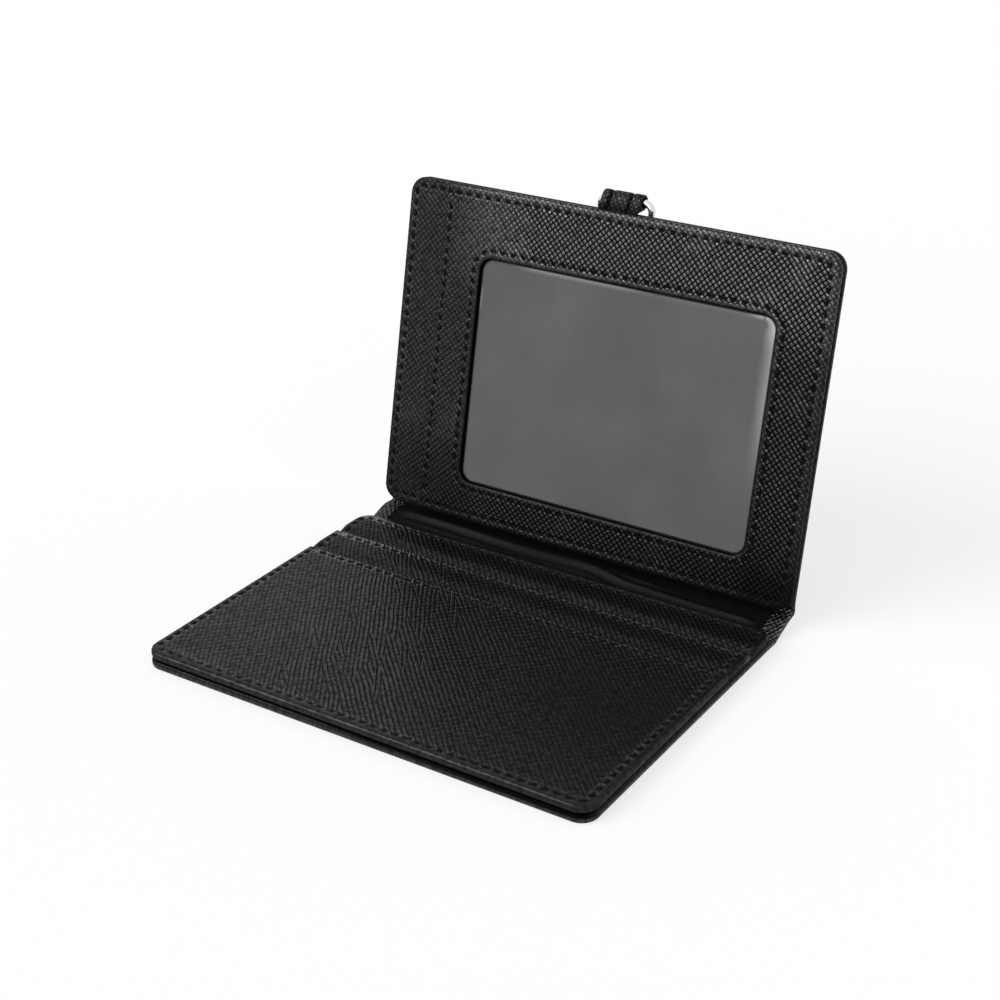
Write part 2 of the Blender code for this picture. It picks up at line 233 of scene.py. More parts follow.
def grid_lines(low, high, step, low_gaps=(), high_gaps=(), extra=()):
    """Grid lines from low to high, with an edge's own lines at its gaps, and extra ones."""
    start = low + (low_gaps[-1] if len(low_gaps) else 0)
    stop = high - (high_gaps[-1] if len(high_gaps) else 0)
    even = np.linspace(start, stop, max(2, round((stop - start) / step) + 1))
    clear = [line for line in even[1:-1] if all(abs(line - place) > 0.45 * step for place in extra)]
    inner = sorted([start, stop, *clear, *extra])
    return np.array([*(low + np.array(low_gaps[:-1])), *inner, *(high - np.array(high_gaps[:-1]))[::-1]])


class LeatherSheet:
    """A closed sheet on a rectangular grid. Its sides turn under, its far end is cut straight,
    and so is its near end if both_cut is set. P runs across it, and q towards the cut end."""

    def __init__(self, box, edge, radius=0.0, both_cut=False, hem=(0.5 * mm, 0.35 * mm),
                 extra=((), ())):
        p0, p1, q0, q1 = box
        inset, height = np.array(edge).T
        runs = np.hypot(np.diff(inset), np.diff(height))
        hide = inset[-1] - np.append(np.cumsum(runs[::-1])[::-1], 0)
        gaps = np.linspace(0, inset[-1], len(edge))
        hem_width, hem_drop = hem
        hem_gaps = hem_width * np.array((0.0, 0.04, 0.16, 0.4, 0.7, 1.0))
        p = grid_lines(p0, p1, grid_step, gaps, gaps, extra[0])
        q = grid_lines(q0, q1, grid_step, () if both_cut else gaps, hem_gaps, extra[1])
        self.across, self.along, self.both_cut = len(p), len(q), both_cut
        across, along = np.meshgrid(p, q, indexing="ij")
        side = np.where(across < (p0 + p1) / 2, -1, 1)
        side_gap = np.minimum(across - p0, p1 - across)
        near_gap = np.full_like(along, 1.0) if both_cut else along - q0
        gap = np.minimum(side_gap, near_gap)
        past_corner = np.abs(side_gap - near_gap)
        room = radius - gap
        in_arc = past_corner < room
        swing = pi / 4 * past_corner / np.where(in_arc, room, 1.0)
        by_side = side_gap <= near_gap
        angle = np.where(by_side, pi / 4 - swing, pi / 4 + swing)
        out_p = np.where(in_arc, side * np.cos(angle), np.where(by_side, side, 0))
        out_q = np.where(in_arc, -np.sin(angle), np.where(by_side, 0, -1))
        edge_p = np.where(side < 0, p0, p1)
        straight_p = np.where(by_side, edge_p, across)
        foot_p = np.where(in_arc, edge_p - side * radius + radius * out_p, straight_p)
        foot_q = np.where(in_arc, q0 + radius + radius * out_q, np.where(by_side, along, q0))
        on_edge = gap < inset[-1]
        real = np.where(on_edge, np.interp(gap, gaps, inset), gap)
        flat = np.where(on_edge, np.interp(gap, gaps, hide), gap)
        self.p, self.q = foot_p - out_p * real, foot_q - out_q * real
        self.hide_p, self.hide_q = foot_p - out_p * flat, foot_q - out_q * flat
        self.rim = 1 - smooth_step(flat, *rim_fade)
        hem_gap = np.clip((q1 - along) / hem_width, 0, 1)
        hem_sunk = hem_drop * (1 - np.sqrt(1 - (1 - hem_gap) ** 2))
        self.z = np.minimum(np.interp(gap, gaps, height), height[-1] - hem_sunk)

    def faces(self, hole=None):
        """The grid, the flat floor under it and its cut ends. A hole is two columns and two rows."""
        at = np.arange(self.across * self.along).reshape(self.across, self.along).tolist()
        last, end = self.across - 1, self.along - 1
        left, right, near, far = hole or (0, 0, -2, -2)
        made = []
        for i in range(last):
            for j in range(end):
                if not (left <= i < right and near <= j < far):
                    made.append((at[i][j], at[i + 1][j], at[i + 1][j + 1], at[i][j + 1]))
        for j in range(end):
            if near <= j < far:
                made.append((at[0][j], at[0][j + 1], at[left][j + 1], at[left][j]))
                made.append((at[right][j], at[right][j + 1], at[last][j + 1], at[last][j]))
                continue
            head = [at[i][j + 1] for i in range(left, right + 1)] if j + 1 == near else []
            tail = [at[i][j] for i in range(right, left - 1, -1)] if j == far else []
            if j == 0 and not self.both_cut:
                tail = [at[i][0] for i in range(last - 1, 0, -1)]
            made.append([at[0][j], at[0][j + 1], *head, at[last][j + 1], at[last][j], *tail])
        made.append([at[i][end] for i in range(last + 1)])
        if self.both_cut:
            made.append([at[i][0] for i in range(last, -1, -1)])
        return made


def outline(x0, x1, y0, y1, radius):
    """Evenly spaced points round a rounded rectangle, with the distance run at each."""
    points = []
    arc_steps = max(2, round(radius * pi / 2 / path_step))
    for x, y, start in ((x1, y0, -90), (x1, y1, 0), (x0, y1, 90), (x0, y0, 180)):
        centre = (x - radius if x == x1 else x + radius, y - radius if y == y1 else y + radius)
        for n in range(arc_steps + 1):
            angle = radians(start + 90 * n / arc_steps)
            points.append((centre[0] + radius * cos(angle), centre[1] + radius * sin(angle)))
    return spaced(points + points[:1])


def spaced(points):
    """The same path with evenly spaced points, and the distance run at each."""
    points = np.array(points)
    run = distance_run(points)
    even = np.linspace(0, run[-1], round(run[-1] / path_step) + 1)
    return np.column_stack([np.interp(even, run, points[:, 0]), np.interp(even, run, points[:, 1]), even])


def distance_run(points):
    """How far along its path each point lies."""
    return np.append(0, np.cumsum(np.linalg.norm(np.diff(points, axis=0), axis=1)))


def stitch_holes(path):
    """The distances along a path at which the needle goes through."""
    return np.linspace(0, path[-1, 2], round(path[-1, 2] / stitch_pitch) + 1)


def press(x, y, *paths):
    """How deep seams press the leather in at each point. Each tight stitch sinks into a slot of
    its own. The leather swells up between two stitches, and a little beside them."""
    pressed = np.zeros(x.size)
    for path in paths:
        tree = kdtree.KDTree(len(path))
        for n, (px, py, _) in enumerate(path):
            tree.insert((px, py, 0), n)
        tree.balance()
        pitch = stitch_holes(path)[1]
        low, high = path.min(axis=0) - seam_reach, path.max(axis=0) + seam_reach
        near = (x > low[0]) & (x < high[0]) & (y > low[1]) & (y < high[1])
        for n in np.flatnonzero(near.ravel()):
            _, hit, away = tree.find((x.flat[n], y.flat[n], 0))
            if away < seam_reach:
                between = 0.5 + 0.5 * cos(2 * pi * path[hit, 2] / pitch)
                valley = bell(away, 0, seam_spread) * (1 - (1 + seam_swell) * between)
                pucker = bell(away, pucker_place, pucker_spread)
                pressed[n] += seam_depth * (valley - pucker_share * pucker)
    return pressed.reshape(x.shape)


def bell(value, middle, width):
    """A smooth hump that is 1 at its middle."""
    return np.exp(-(((value - middle) / width) ** 2))


def sewn_in(dent, rubbed=4.0):
    """How dark the seam paints each point, as painted shade: 1 in a stitch's slot, and less than 0
    where the leather swells up beside it, which raises its coat there so that it glints."""
    return np.clip(np.where(dent < 0, rubbed, 1.5) * dent / seam_depth, -seam_swell * rubbed, 1)


def mirrored(path):
    """The same seam seen from the other side of the leather."""
    return path * (-1, 1, 1)


leaf_seam = outline(-half_width + left_seam_inset, half_width - seam_inset, -half_depth + seam_inset,
                    half_depth - seam_inset, corner_radius - seam_inset)


def smooth_step(value, start, stop):
    share = np.clip((value - start) / (stop - start), 0, 1)
    return share * share * (3 - 2 * share)


def ripple(x, y, size, amount, seed):
    """A slow, uneven swell, as hand-laid leather has."""
    wave = np.sin(x / size * 2.1 + seed) * np.cos(y / size * 1.7 + 2 * seed)
    cross = np.sin((x + y) / size * 3.3 + 5 * seed) * np.cos((x - y) / size * 2.6)
    return amount * (wave + 0.6 * cross) / 1.6


def add_piece(name, points, faces, material, hide=None, **masks):
    """A mesh object with its place on the flat hide, in millimetres, and masks from 0 to 1, such
    as how near its rim is."""
    mesh = bpy.data.meshes.new(name)
    mesh.from_pydata(np.asarray(points).tolist(), [], faces)
    mesh.shade_smooth()
    mesh.set_sharp_from_angle(angle=sharp_edge)
    mesh.materials.append(material)
    if hide is not None:
        place = mesh.attributes.new("hide", "FLOAT_VECTOR", "POINT")
        place.data.foreach_set("vector", (np.asarray(hide) / mm).astype(np.float32).ravel())
    for label, values in masks.items():
        mask = mesh.attributes.new(label, "FLOAT", "POINT")
        mask.data.foreach_set("value", np.asarray(values, np.float32).ravel())
    return new_object(name, mesh)


def grid_points(*parts):
    """One row for each point, from arrays or single values for its x, y and z."""
    return np.stack([part.ravel() for part in np.broadcast_arrays(*parts)], axis=1).astype(float)


def new_material(name):
    """A material, with its node tree and its shader."""
    material = bpy.data.materials.new(name)
    material.use_nodes = True
    return material, material.node_tree, material.node_tree.nodes["Principled BSDF"]


def new_group(name, inputs, outputs):
    """An empty node group with its sockets, and its inner input and output nodes."""
    group = bpy.data.node_groups.new(name, "ShaderNodeTree")
    for label, value in inputs.items():
        socket = group.interface.new_socket(label, in_out="INPUT", socket_type="NodeSocketFloat")
        socket.default_value = value
    for label, kind in outputs.items():
        group.interface.new_socket(label, in_out="OUTPUT", socket_type="NodeSocket" + kind)
    return group, group.nodes.new("NodeGroupInput").outputs, group.nodes.new("NodeGroupOutput")


def attribute(tree, name, kind="Fac"):
    """What the mesh carries under this name at each of its points."""
    return add_node(tree, "Attribute", attribute_name=name).outputs[kind]


def noise(tree, place, scale, detail):
    return add_node(tree, "TexNoise", {"Vector": place, "Scale": scale, "Detail": detail}).outputs["Fac"]


def mix(tree, share, first, second):
    """The first value at a share of 0, and the second at 1."""
    inputs = {"Factor": share, "A": first, "B": second}
    return add_node(tree, "Mix", inputs, data_type="FLOAT").outputs["Result"]


def mix_tone(tree, share, first, second):
    """The first colour at a share of 0, and the second at 1."""
    inputs = {"Factor": share, "A": first, "B": second}
    return add_node(tree, "Mix", inputs, data_type="RGBA").outputs[2]


def bump(tree, height, distance):
    return add_node(tree, "Bump", {"Height": height, "Distance": distance}).outputs[0]


def vector_math(tree, operation, first, second):
    """The output of one Vector Math node."""
    inputs = {0: first, "Scale" if operation == "SCALE" else 1: second}
    made = add_node(tree, "VectorMath", inputs, operation=operation)
    return made.outputs["Value" if operation == "DOT_PRODUCT" else 0]


def turned_flat(tree, place, angle):
    inputs = {"Vector": place, "Angle": angle}
    return add_node(tree, "VectorRotate", inputs, rotation_type="Z_AXIS").outputs[0]


def drift(tree, place, scale, amount, detail=1.0):
    """A place moved about by smooth noise, so that straight lines waver."""
    cloud = add_node(tree, "TexNoise", {"Vector": place, "Scale": scale, "Detail": detail})
    middle = vector_math(tree, "SUBTRACT", cloud.outputs["Color"], (0.5, 0.5, 0.5))
    return vector_math(tree, "ADD", place, vector_math(tree, "SCALE", middle, amount))


def spread_out(tree, value, low, high, start=0.0, stop=1.0):
    """The value's stretch from low to high drawn out from start to stop, and held beyond."""
    inputs = {"Value": value, "From Min": low, "From Max": high, "To Min": start, "To Max": stop}
    return add_node(tree, "MapRange", inputs, interpolation_type="SMOOTHSTEP").outputs["Result"]


def ridge(tree, place, angle, pitch, width):
    """Rounded ridges a pitch apart that run at an angle to X, 1 on top and 0 in the grooves."""
    way = vector_math(tree, "DOT_PRODUCT", place, Vector((-sin(angle), cos(angle), 0)))
    saw = work_out(tree, "PINGPONG", work_out(tree, "DIVIDE", way, pitch), 0.5)
    return spread_out(tree, saw, 0.03, width)


def saffiano_group():
    """Cross-grain pressed into the leather. Long ridges run in two directions that fork into each
    other, and cross ridges cut them into pads. The pads' waxed tops shine and the grooves don't."""
    group, given, result = new_group(
        "saffiano_grain",
        {"Cross Cut": 1.0, "Cross Pitch": 1.0, "Grain Angle": 0.0, "Fork Place": 0.0, "Waver": 1.0,
         "Flat Rim": 0.8, "Filled": 0.3, "Gloss": 1.0},
        {"Color": "Color", "Roughness": "Float", "Shine": "Float", "Height": "Float"})
    times = partial(work_out, group, "MULTIPLY")
    times_and_add = partial(work_out, group, "MULTIPLY_ADD")
    less = partial(work_out, group, "SUBTRACT")
    spread = partial(spread_out, group)
    hide = attribute(group, "hide", "Vector")
    turned = turned_flat(group, hide, given["Grain Angle"])
    slow = drift(group, turned, 0.06, times(given["Waver"], 2.2))
    lively = drift(group, slow, 0.30, times(given["Waver"], 0.5), 2.0)
    fine = drift(group, lively, 1.5, 0.14)
    drawn = vector_math(group, "MULTIPLY", turned_flat(group, turned, radians(-127)), (0.055, 0.26, 1))
    forks = noise(group, drawn, 1.0, 1.0)
    shift = less(add_node(group, "SeparateXYZ", {0: turned}).outputs["X"], given["Fork Place"])
    swung = spread(times_and_add(shift, 0.012, forks), 0.48, 0.52)
    steep = ridge(group, fine, radians(122), 0.96, 0.34)
    leaning = ridge(group, fine, radians(134), 1.0, 0.34)
    cross_ridges = ridge(group, fine, radians(46), given["Cross Pitch"], 0.30)
    patchy = spread(noise(group, turned, 0.09, 2.0), 0.36, 0.60, 0.15, 1.0)
    cut = times(patchy, given["Cross Cut"], use_clamp=True)
    pressed = times(mix(group, swung, steep, leaning), mix(group, cut, 1.0, cross_ridges))
    worn = times(attribute(group, "rim"), given["Flat Rim"])
    pads = mix(group, worn, pressed, 0.7)
    lumps = noise(group, fine, 0.8, 2.0)
    height = times(pads, spread(lumps, 0.3, 0.6, 0.6, 1.0))
    pores = noise(group, hide, 7.0, 3.0)
    # Painted shade: points under the painted shade mask lose colour and coat, and below 0 they get more
    # coat.
    unshaded = less(1.0, attribute(group, "sewn"))
    # Painted shade: the grooves are coloured darker than the pads, for the shade that the bump can't cast.
    tone = mix_tone(group, times(pads, unshaded), (0.0008, 0.0008, 0.0009, 1), (0.0070, 0.0070, 0.0073, 1))
    rubbed = times_and_add(pads, -0.14, 0.62)
    filled = work_out(group, "ADD", given["Filled"], attribute(group, "filled"))
    tops = times_and_add(work_out(group, "POWER", pads, 1.2), less(1.0, filled), filled)
    clean = times(less(1.0, attribute(group, "dulled")), given["Gloss"])
    gloss = times(clean, times_and_add(worn, -0.45, 1.0))
    glint = spread(lumps, 0.34, 0.62, 0.45, 1.0)
    set_inputs(group, result, {
        "Color": tone, "Roughness": times_and_add(pores, 0.14, rubbed),
        "Shine": times(times(times(unshaded, tops), gloss), glint, use_clamp=True),
        "Height": times_and_add(pores, 0.06, height)})
    return group


saffiano = saffiano_group()


def leather(name, relief=0.16 * mm, **grain_values):
    """Black saffiano, with its own values for how the grain is cut and turned."""
    material, tree, shader = new_material(name)
    grain = add_node(tree, "Group", node_tree=saffiano)
    for label, value in grain_values.items():
        grain.inputs[label.replace("_", " ").title()].default_value = value
    pressed = bump(tree, grain.outputs["Height"], relief)
    set_inputs(tree, shader, {
        "Base Color": grain.outputs["Color"], "Roughness": grain.outputs["Roughness"],
        "Coat Weight": grain.outputs["Shine"], "Normal": pressed, "Coat Normal": pressed,
        "Specular IOR Level": 0.02, "Coat Roughness": 0.23, "Coat IOR": 2.0})
    return material


def bent(y, z, flat, at, turn, half):
    """Turns what lies past a crease about it, and rounds the stretch within half of it."""
    radius = half / tan(turn / 2)
    angle = turn * np.clip((flat - at + half) / (2 * half), 0, 1)
    round_y = at - half + (radius - z) * np.sin(angle)
    round_z = radius - (radius - z) * np.cos(angle)
    past_y = at + (y - at) * cos(turn) - z * sin(turn)
    past_z = (y - at) * sin(turn) + z * cos(turn)
    before, past = flat <= at - half, flat >= at + half
    return (np.where(before, y, np.where(past, past_y, round_y)),
            np.where(before, z, np.where(past, past_z, round_z)))


def folded(x, flat, height):
    """The place in the standing holder of a point on the flat skin, height above its outer face."""
    y, z = bent(flat, height - skin_thickness, flat, second_crease, upper_turn, second_bend)
    y, z = bent(y, z, flat, first_crease, lower_turn, first_bend)
    return grid_points(x, y, z + skin_thickness)


def skin_edge():
    """(inset, height) points from under the board, round the turned hem, to the outer face."""
    wall = skin_thickness + board_gap
    inner = shell_top - hem_thickness
    hem_end = 0.15 * mm
    inside = [(1.6 * wall, -skin_thickness), (wall, -0.4 * shell_top), (wall, -0.6 * shell_top),
              (1.6 * wall, -inner), (hem_width, -inner), (hem_width, -shell_top + hem_end),
              (hem_width - hem_end, -shell_top)]
    return inside + turned_edge(-shell_top, 0, skin_turn_reach, 10)


def pressed_lip(height, over_board):
    """At the fold, where there is no board, the turned edge is pressed flat into a lip."""
    lip = np.interp(height, (0, skin_thickness, shell_top - hem_thickness, shell_top),
                    (0, skin_thickness, skin_thickness + 0.05 * mm, lip_height))
    return lip + (height - lip) * over_board


def pocket_shadow(sheet, x):
    """Painted shadow: black painted on the skin's turned front edge, in the dark gap that the front
    pocket's edge leaves above it. It widens to the right."""
    gap = 0.2 * mm + 0.36 * mm * smooth_step(x, -20 * mm, 44 * mm)
    in_front = smooth_step(-sheet.q, half_depth - 3 * mm, half_depth - 1 * mm)
    return smooth_step(-sheet.z, shell_top - 1.6 * gap, shell_top - gap) * in_front


def skin_half(name, along, material):
    """Half of the skin, from a leaf's free edge to the middle of the fold. Along turns the sheet's
    q into the place along the flat skin, which runs the other way for the upper half."""
    box = (-half_width, half_width, -half_depth, fold_middle)
    sheet = LeatherSheet(box, skin_edge(), corner_radius, hem=(1.0 * mm, 0.0))
    turn = 1 if along(mm) > along(0) else -1
    seam = mirrored(leaf_seam) if turn > 0 else leaf_seam
    outside = sheet.z > -outer_face_depth
    dent = np.where(outside, press(sheet.p, sheet.q, seam), 0)
    sewn = sewn_in(dent)
    uneven = np.where(outside, 0.06 * mm + ripple(sheet.p, sheet.q, 22 * mm, skin_swell, 1.0), 0)
    dent += uneven * smooth_step(half_width - np.abs(sheet.p), 0.5 * mm, 6 * mm)
    flat = along(sheet.q)
    board_edge = fold_middle - half_depth
    over_board = smooth_step(np.abs(flat - fold_middle), board_edge - 0.3 * mm, board_edge + 1.2 * mm)
    at_creases = bell(flat, second_crease, crease_spread) + 0.4 * bell(flat, first_crease, crease_spread)
    pinched = np.where(turn * sheet.p > 0, crease_pinch, -crease_flare)
    x = -turn * sheet.p * (1 - at_creases * pinched / half_width)
    in_shadow = pocket_shadow(sheet, x) * (turn > 0)
    rim_top = smooth_step(-sheet.z, shell_top - 1.1 * mm, shell_top - 0.5 * mm) * over_board
    rubbed_end = smooth_step(x, 45.5 * mm, 48.5 * mm) * bell(flat, fold_middle, 5 * mm)
    points = folded(x, flat, pressed_lip(dent - sheet.z, over_board))
    hide = grid_points(-turn * sheet.hide_p, along(sheet.hide_q), 0)
    return add_piece(name, points, sheet.faces(), material, hide,
                     rim=sheet.rim * over_board, sewn=np.maximum(sewn, in_shadow),
                     dulled=0.75 * rim_top - rubbed_end)


skin_leather = leather("skin_leather", cross_cut=1.5, fork_place=60.0, flat_rim=0.8, gloss=0.8)
outer_skin_lower = skin_half("outer_skin_lower", lambda q: q, skin_leather)
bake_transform(outer_skin_lower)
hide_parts("lower_cover", "spine_cover")


# Outer skin, upper half. The same leather goes on from the middle of the fold up the back of the
# upper leaf. It meets the lower half without a seam.
outer_skin_upper = skin_half("outer_skin_upper", lambda q: skin_length - q, skin_leather)
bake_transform(outer_skin_upper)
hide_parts("upper_cover")


# Stiffener boards. Two plates of grey pressed card, one in each leaf, inside the turned skin.
# They are glued in and don't show.
pressed_card, card_tree, card_shader = new_material("pressed_card")
card_place = add_node(card_tree, "TexCoord").outputs["Object"]
card_fibres = noise(card_tree, card_place, 900.0, 4.0)
set_inputs(card_tree, card_shader, {
    "Base Color": mix_tone(card_tree, card_fibres, (0.11, 0.10, 0.09, 1), (0.22, 0.21, 0.19, 1)),
    "Normal": bump(card_tree, card_fibres, 0.05 * mm), "Roughness": 0.9})


def dress(node, material):
    """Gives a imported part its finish."""
    part = frame["nodes"][node]
    part.data.materials.clear()
    part.data.materials.append(material)


for board in ("lower_board", "upper_board"):
    dress(board, pressed_card)


# Base panel. The strip of leather nearest the fold, under the rear card slot's mouth. Its back
# edge turns down over the lining, and a thin tongue runs forward under the next panel.
base_low, base_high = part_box("base_panel")
middle_low, middle_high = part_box("middle_slot_panel")
front_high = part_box("front_slot_panel")[1]
panel_bottom = base_low.z
rim_width = 1.6 * mm
tongue_thickness = 0.4 * mm
tongue_half_width = half_width - rim_width - 0.2 * mm
notch_start = 0.12 * mm
notch_end = 0.30 * mm
mouth_rise = 4.0 * mm
panel_reach = 0.75 * mm
panel_rubbed = 14.0


def tucked(sheet, y, mouth, floor, top):
    """Narrows and thins the stretch of a panel that lies under the next panel's mouth, and lets
    the rest rise from there. Returns how wide each point stays, and its height."""
    out = smooth_step(y, mouth + notch_start, mouth + notch_end)
    tongue = np.interp(sheet.z, (panel_bottom, floor, top), (floor, floor, floor + tongue_thickness))
    shown = np.interp(sheet.z, (panel_bottom, floor, top), (panel_bottom, floor, 1.0))
    over = np.clip((sheet.z - floor) / (top - floor), 0, 1)
    shown = np.where(sheet.z > floor, floor + over * (risen(y, mouth, floor, top) - floor), shown)
    wide = tongue_half_width / half_width
    return wide + (1 - wide) * out, tongue + (shown - tongue) * out


def risen(y, mouth, floor, top):
    """How high a panel's top stands past the mouth over it."""
    tongue_top = floor + tongue_thickness
    return tongue_top + (top - tongue_top) * smooth_step(y, mouth, mouth + mouth_rise)


def panel_edge(floor, top, inset=rim_width, reach=panel_reach):
    """A panel's turned edge, and the flat floor that it turns down to."""
    return [(inset, floor)] + turned_edge(panel_bottom, top, reach)


base_edge = panel_edge(panel_bottom, base_high.z, 1.2 * mm)
base_sheet = LeatherSheet((-half_width, half_width, -half_depth, -base_low.y), base_edge, corner_radius)
base_y = -base_sheet.q
base_wide, base_z = tucked(base_sheet, base_y, middle_high.y, panel_bottom + 0.01 * mm, base_high.z)
base_top = base_sheet.z > base_high.z - 0.25 * mm
base_dent = np.where(base_top, press(-base_sheet.p, base_y, leaf_seam), 0)
base_edge_glint = smooth_step(base_y, half_depth - 3.2 * mm, half_depth - 2.4 * mm)
panel_leather = leather("panel_leather", 0.12 * mm, cross_cut=0.85, cross_pitch=1.45, fork_place=-12.0,
                        waver=0.45, flat_rim=0.9, filled=0.55, gloss=0.38)
base_points = grid_points(-base_sheet.p * base_wide, base_y, base_z - base_dent)
base_panel = add_piece("base_strip", base_points, base_sheet.faces(), panel_leather,
                       grid_points(-base_sheet.hide_p + 31 * mm, -base_sheet.hide_q, 0),
                       rim=base_sheet.rim, sewn=sewn_in(base_dent, panel_rubbed),
                       dulled=0.35 - 1.75 * base_edge_glint)
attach(base_panel, "lower_leaf")
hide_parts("base_panel")


# Rear pocket. A leather strip with the mouth of the rear card slot along its back edge. Its sides
# turn down round the leaf's edge, and its front runs on under the front pocket as a thin tongue.
middle_floor = 2.8 * mm
mouth_seam_inset = 1.4 * mm
mouth_seam_reach = half_width - 3.6 * mm


def mouth_seam(mouth):
    """The seam along the mouth of a slot."""
    y = mouth - mouth_seam_inset
    return spaced([(-mouth_seam_reach, y), (mouth_seam_reach, y)])


middle_edge = panel_edge(middle_floor, middle_high.z)
notch_lines = (front_high.y + notch_start, front_high.y + notch_end)
middle_sheet = LeatherSheet((-half_width, half_width, middle_low.y, middle_high.y), middle_edge,
                            both_cut=True, extra=((), notch_lines))
middle_x, middle_y = middle_sheet.p, middle_sheet.q
middle_wide, middle_z = tucked(middle_sheet, middle_y, front_high.y, middle_floor, middle_high.z)
middle_seam = mouth_seam(middle_high.y)
middle_shown = (middle_sheet.z > middle_high.z - 0.5 * mm) & (middle_y > front_high.y)
middle_dent = np.where(middle_shown, press(middle_x, middle_y, leaf_seam, middle_seam), 0)
middle_edge_glint = smooth_step(middle_y, middle_high.y - 2.4 * mm, middle_high.y - 1.8 * mm)
middle_points = grid_points(middle_x * middle_wide, middle_y, middle_z - middle_dent)
middle_panel = add_piece("rear_pocket", middle_points, middle_sheet.faces(), panel_leather,
                         grid_points(middle_sheet.hide_p + 20 * mm, middle_sheet.hide_q + 90 * mm, 0),
                         rim=middle_sheet.rim, sewn=sewn_in(middle_dent, panel_rubbed),
                         dulled=0.3 - middle_edge_glint)
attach(middle_panel, "lower_leaf")
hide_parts("middle_slot_panel")


# Front pocket. The large leather panel over the lower leaf, with the mouth of the front card slot
# along its back edge. It is sewn down along its other three edges and plain in the middle.
front_floor = 3.4 * mm
swell = 0.045 * mm
front_edge = panel_edge(front_floor, front_high.z)
front_sheet = LeatherSheet((-half_width, half_width, -half_depth, front_high.y), front_edge, corner_radius)
front_x, front_y = front_sheet.p, front_sheet.q
front_top = front_sheet.z > front_high.z - 0.5 * mm
front_seam = mouth_seam(front_high.y)
front_shallow = 0.5 + 0.5 * smooth_step(front_y, -half_depth + 2.6 * mm, -half_depth + 5 * mm)
front_dent = front_top * press(front_x, front_y, leaf_seam, front_seam) * front_shallow
front_swell = front_top * ripple(front_x, front_y, 26 * mm, swell, 0.7) * (1 - front_sheet.rim)
front_worn = 0.7 * smooth_step(front_x, -8 * mm, 40 * mm) * (1 - smooth_step(front_y, -8 * mm, 16 * mm))
front_points = grid_points(front_x, front_y, front_sheet.z - front_dent - front_swell)
front_panel = add_piece("front_pocket", front_points, front_sheet.faces(), panel_leather,
                        grid_points(front_sheet.hide_p, front_sheet.hide_q, 0),
                        rim=np.maximum(front_sheet.rim, front_worn),
                        sewn=sewn_in(front_dent, panel_rubbed),
                        dulled=0.3 * front_worn, filled=0.5 * front_worn)
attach(front_panel, "lower_leaf")
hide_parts("front_slot_panel")


# Stitches of the lower leaf. Black waxed thread, in a lockstitch round the leaf through all its
# layers, and one row along each slot's mouth. Each stitch dips into its needle holes.
thread_radius = 0.27 * mm
thread_sink = 0.32 * mm
hole_sink = 0.36 * mm
hole_gap = 0.40 * mm
stitch_slant = 0.07 * mm
stitch_taper = 0.35
back_level = 0.09 * mm


def thread_material():
    material, tree, shader = new_material("waxed_thread")
    place = attribute(tree, "hide", "Vector")
    plies = ridge(tree, place, radians(52), 0.30, 0.5)
    fuzz = noise(tree, place, 14.0, 3.0)
    height = work_out(tree, "MULTIPLY_ADD", fuzz, 0.35, plies)
    tone = mix_tone(tree, plies, (0.0012, 0.0012, 0.0012, 1), (0.0045, 0.0045, 0.0045, 1))
    set_inputs(tree, shader, {
        "Base Color": tone, "Normal": bump(tree, height, 0.05 * mm), "Specular IOR Level": 0.05,
        "Roughness": work_out(tree, "MULTIPLY_ADD", fuzz, 0.2, 0.45)})
    return material


def between_rings(here, there, sides):
    """The faces between two rings of points, each given by its first point."""
    ahead = [(n + 1) % sides for n in range(sides)]
    return [(here + n, here + m, there + m, there + n) for n, m in enumerate(ahead)]


def sew(name, runs):
    """One mesh of separate stitches. Each run is a path and the surface's own placing of a point
    (x, y, and how far it lies above the leather)."""
    sections, sides = 9, 8
    points, faces, hide = [], [], []
    share = np.linspace(0, 1, sections)
    around = np.arange(sides) * 2 * pi / sides
    end_dip = np.abs(2 * share - 1) ** 5
    thick = (thread_radius * (1 - stitch_taper * end_dip))[:, None]
    across = (stitch_slant * (share - 0.5) * 2)[:, None] + thick * np.cos(around)
    up = (-thread_sink - hole_sink * end_dip)[:, None] + thick * np.sin(around)
    for path, lay in runs:
        holes = stitch_holes(path)
        for first, second in zip(holes[:-1], holes[1:]):
            run = first + hole_gap + (second - first - 2 * hole_gap) * share
            x = np.interp(run, path[:, 2], path[:, 0])
            y = np.interp(run, path[:, 2], path[:, 1])
            side = np.array((y[0] - y[-1], x[-1] - x[0])) / max(np.hypot(x[-1] - x[0], y[-1] - y[0]), 1e-9)
            start = len(points)
            points.extend(lay((x[:, None] + side[0] * across).ravel(),
                              (y[:, None] + side[1] * across).ravel(), up.ravel()))
            hide.extend(grid_points(run[:, None], around * thread_radius, 0.0))
            for ring in range(start, start + (sections - 1) * sides, sides):
                faces.extend(between_rings(ring, ring + sides, sides))
            faces.append([start + n for n in range(sides - 1, -1, -1)])
            faces.append([start + (sections - 1) * sides + n for n in range(sides)])
    return add_piece(name, points, faces, waxed_thread, hide)


def lower_top(y):
    """How high the leather of the lower leaf stands at its seam."""
    rear = risen(y, front_high.y, middle_floor, middle_high.z)
    base = risen(y, middle_high.y, panel_bottom, base_high.z)
    return np.where(y < front_high.y, front_high.z, np.where(y < middle_high.y, rear, base))


def on_lower_inside(x, y, up):
    return grid_points(x, y, lower_top(y) + up)


def on_lower_outside(x, y, up):
    return grid_points(-x, y, back_level - up)


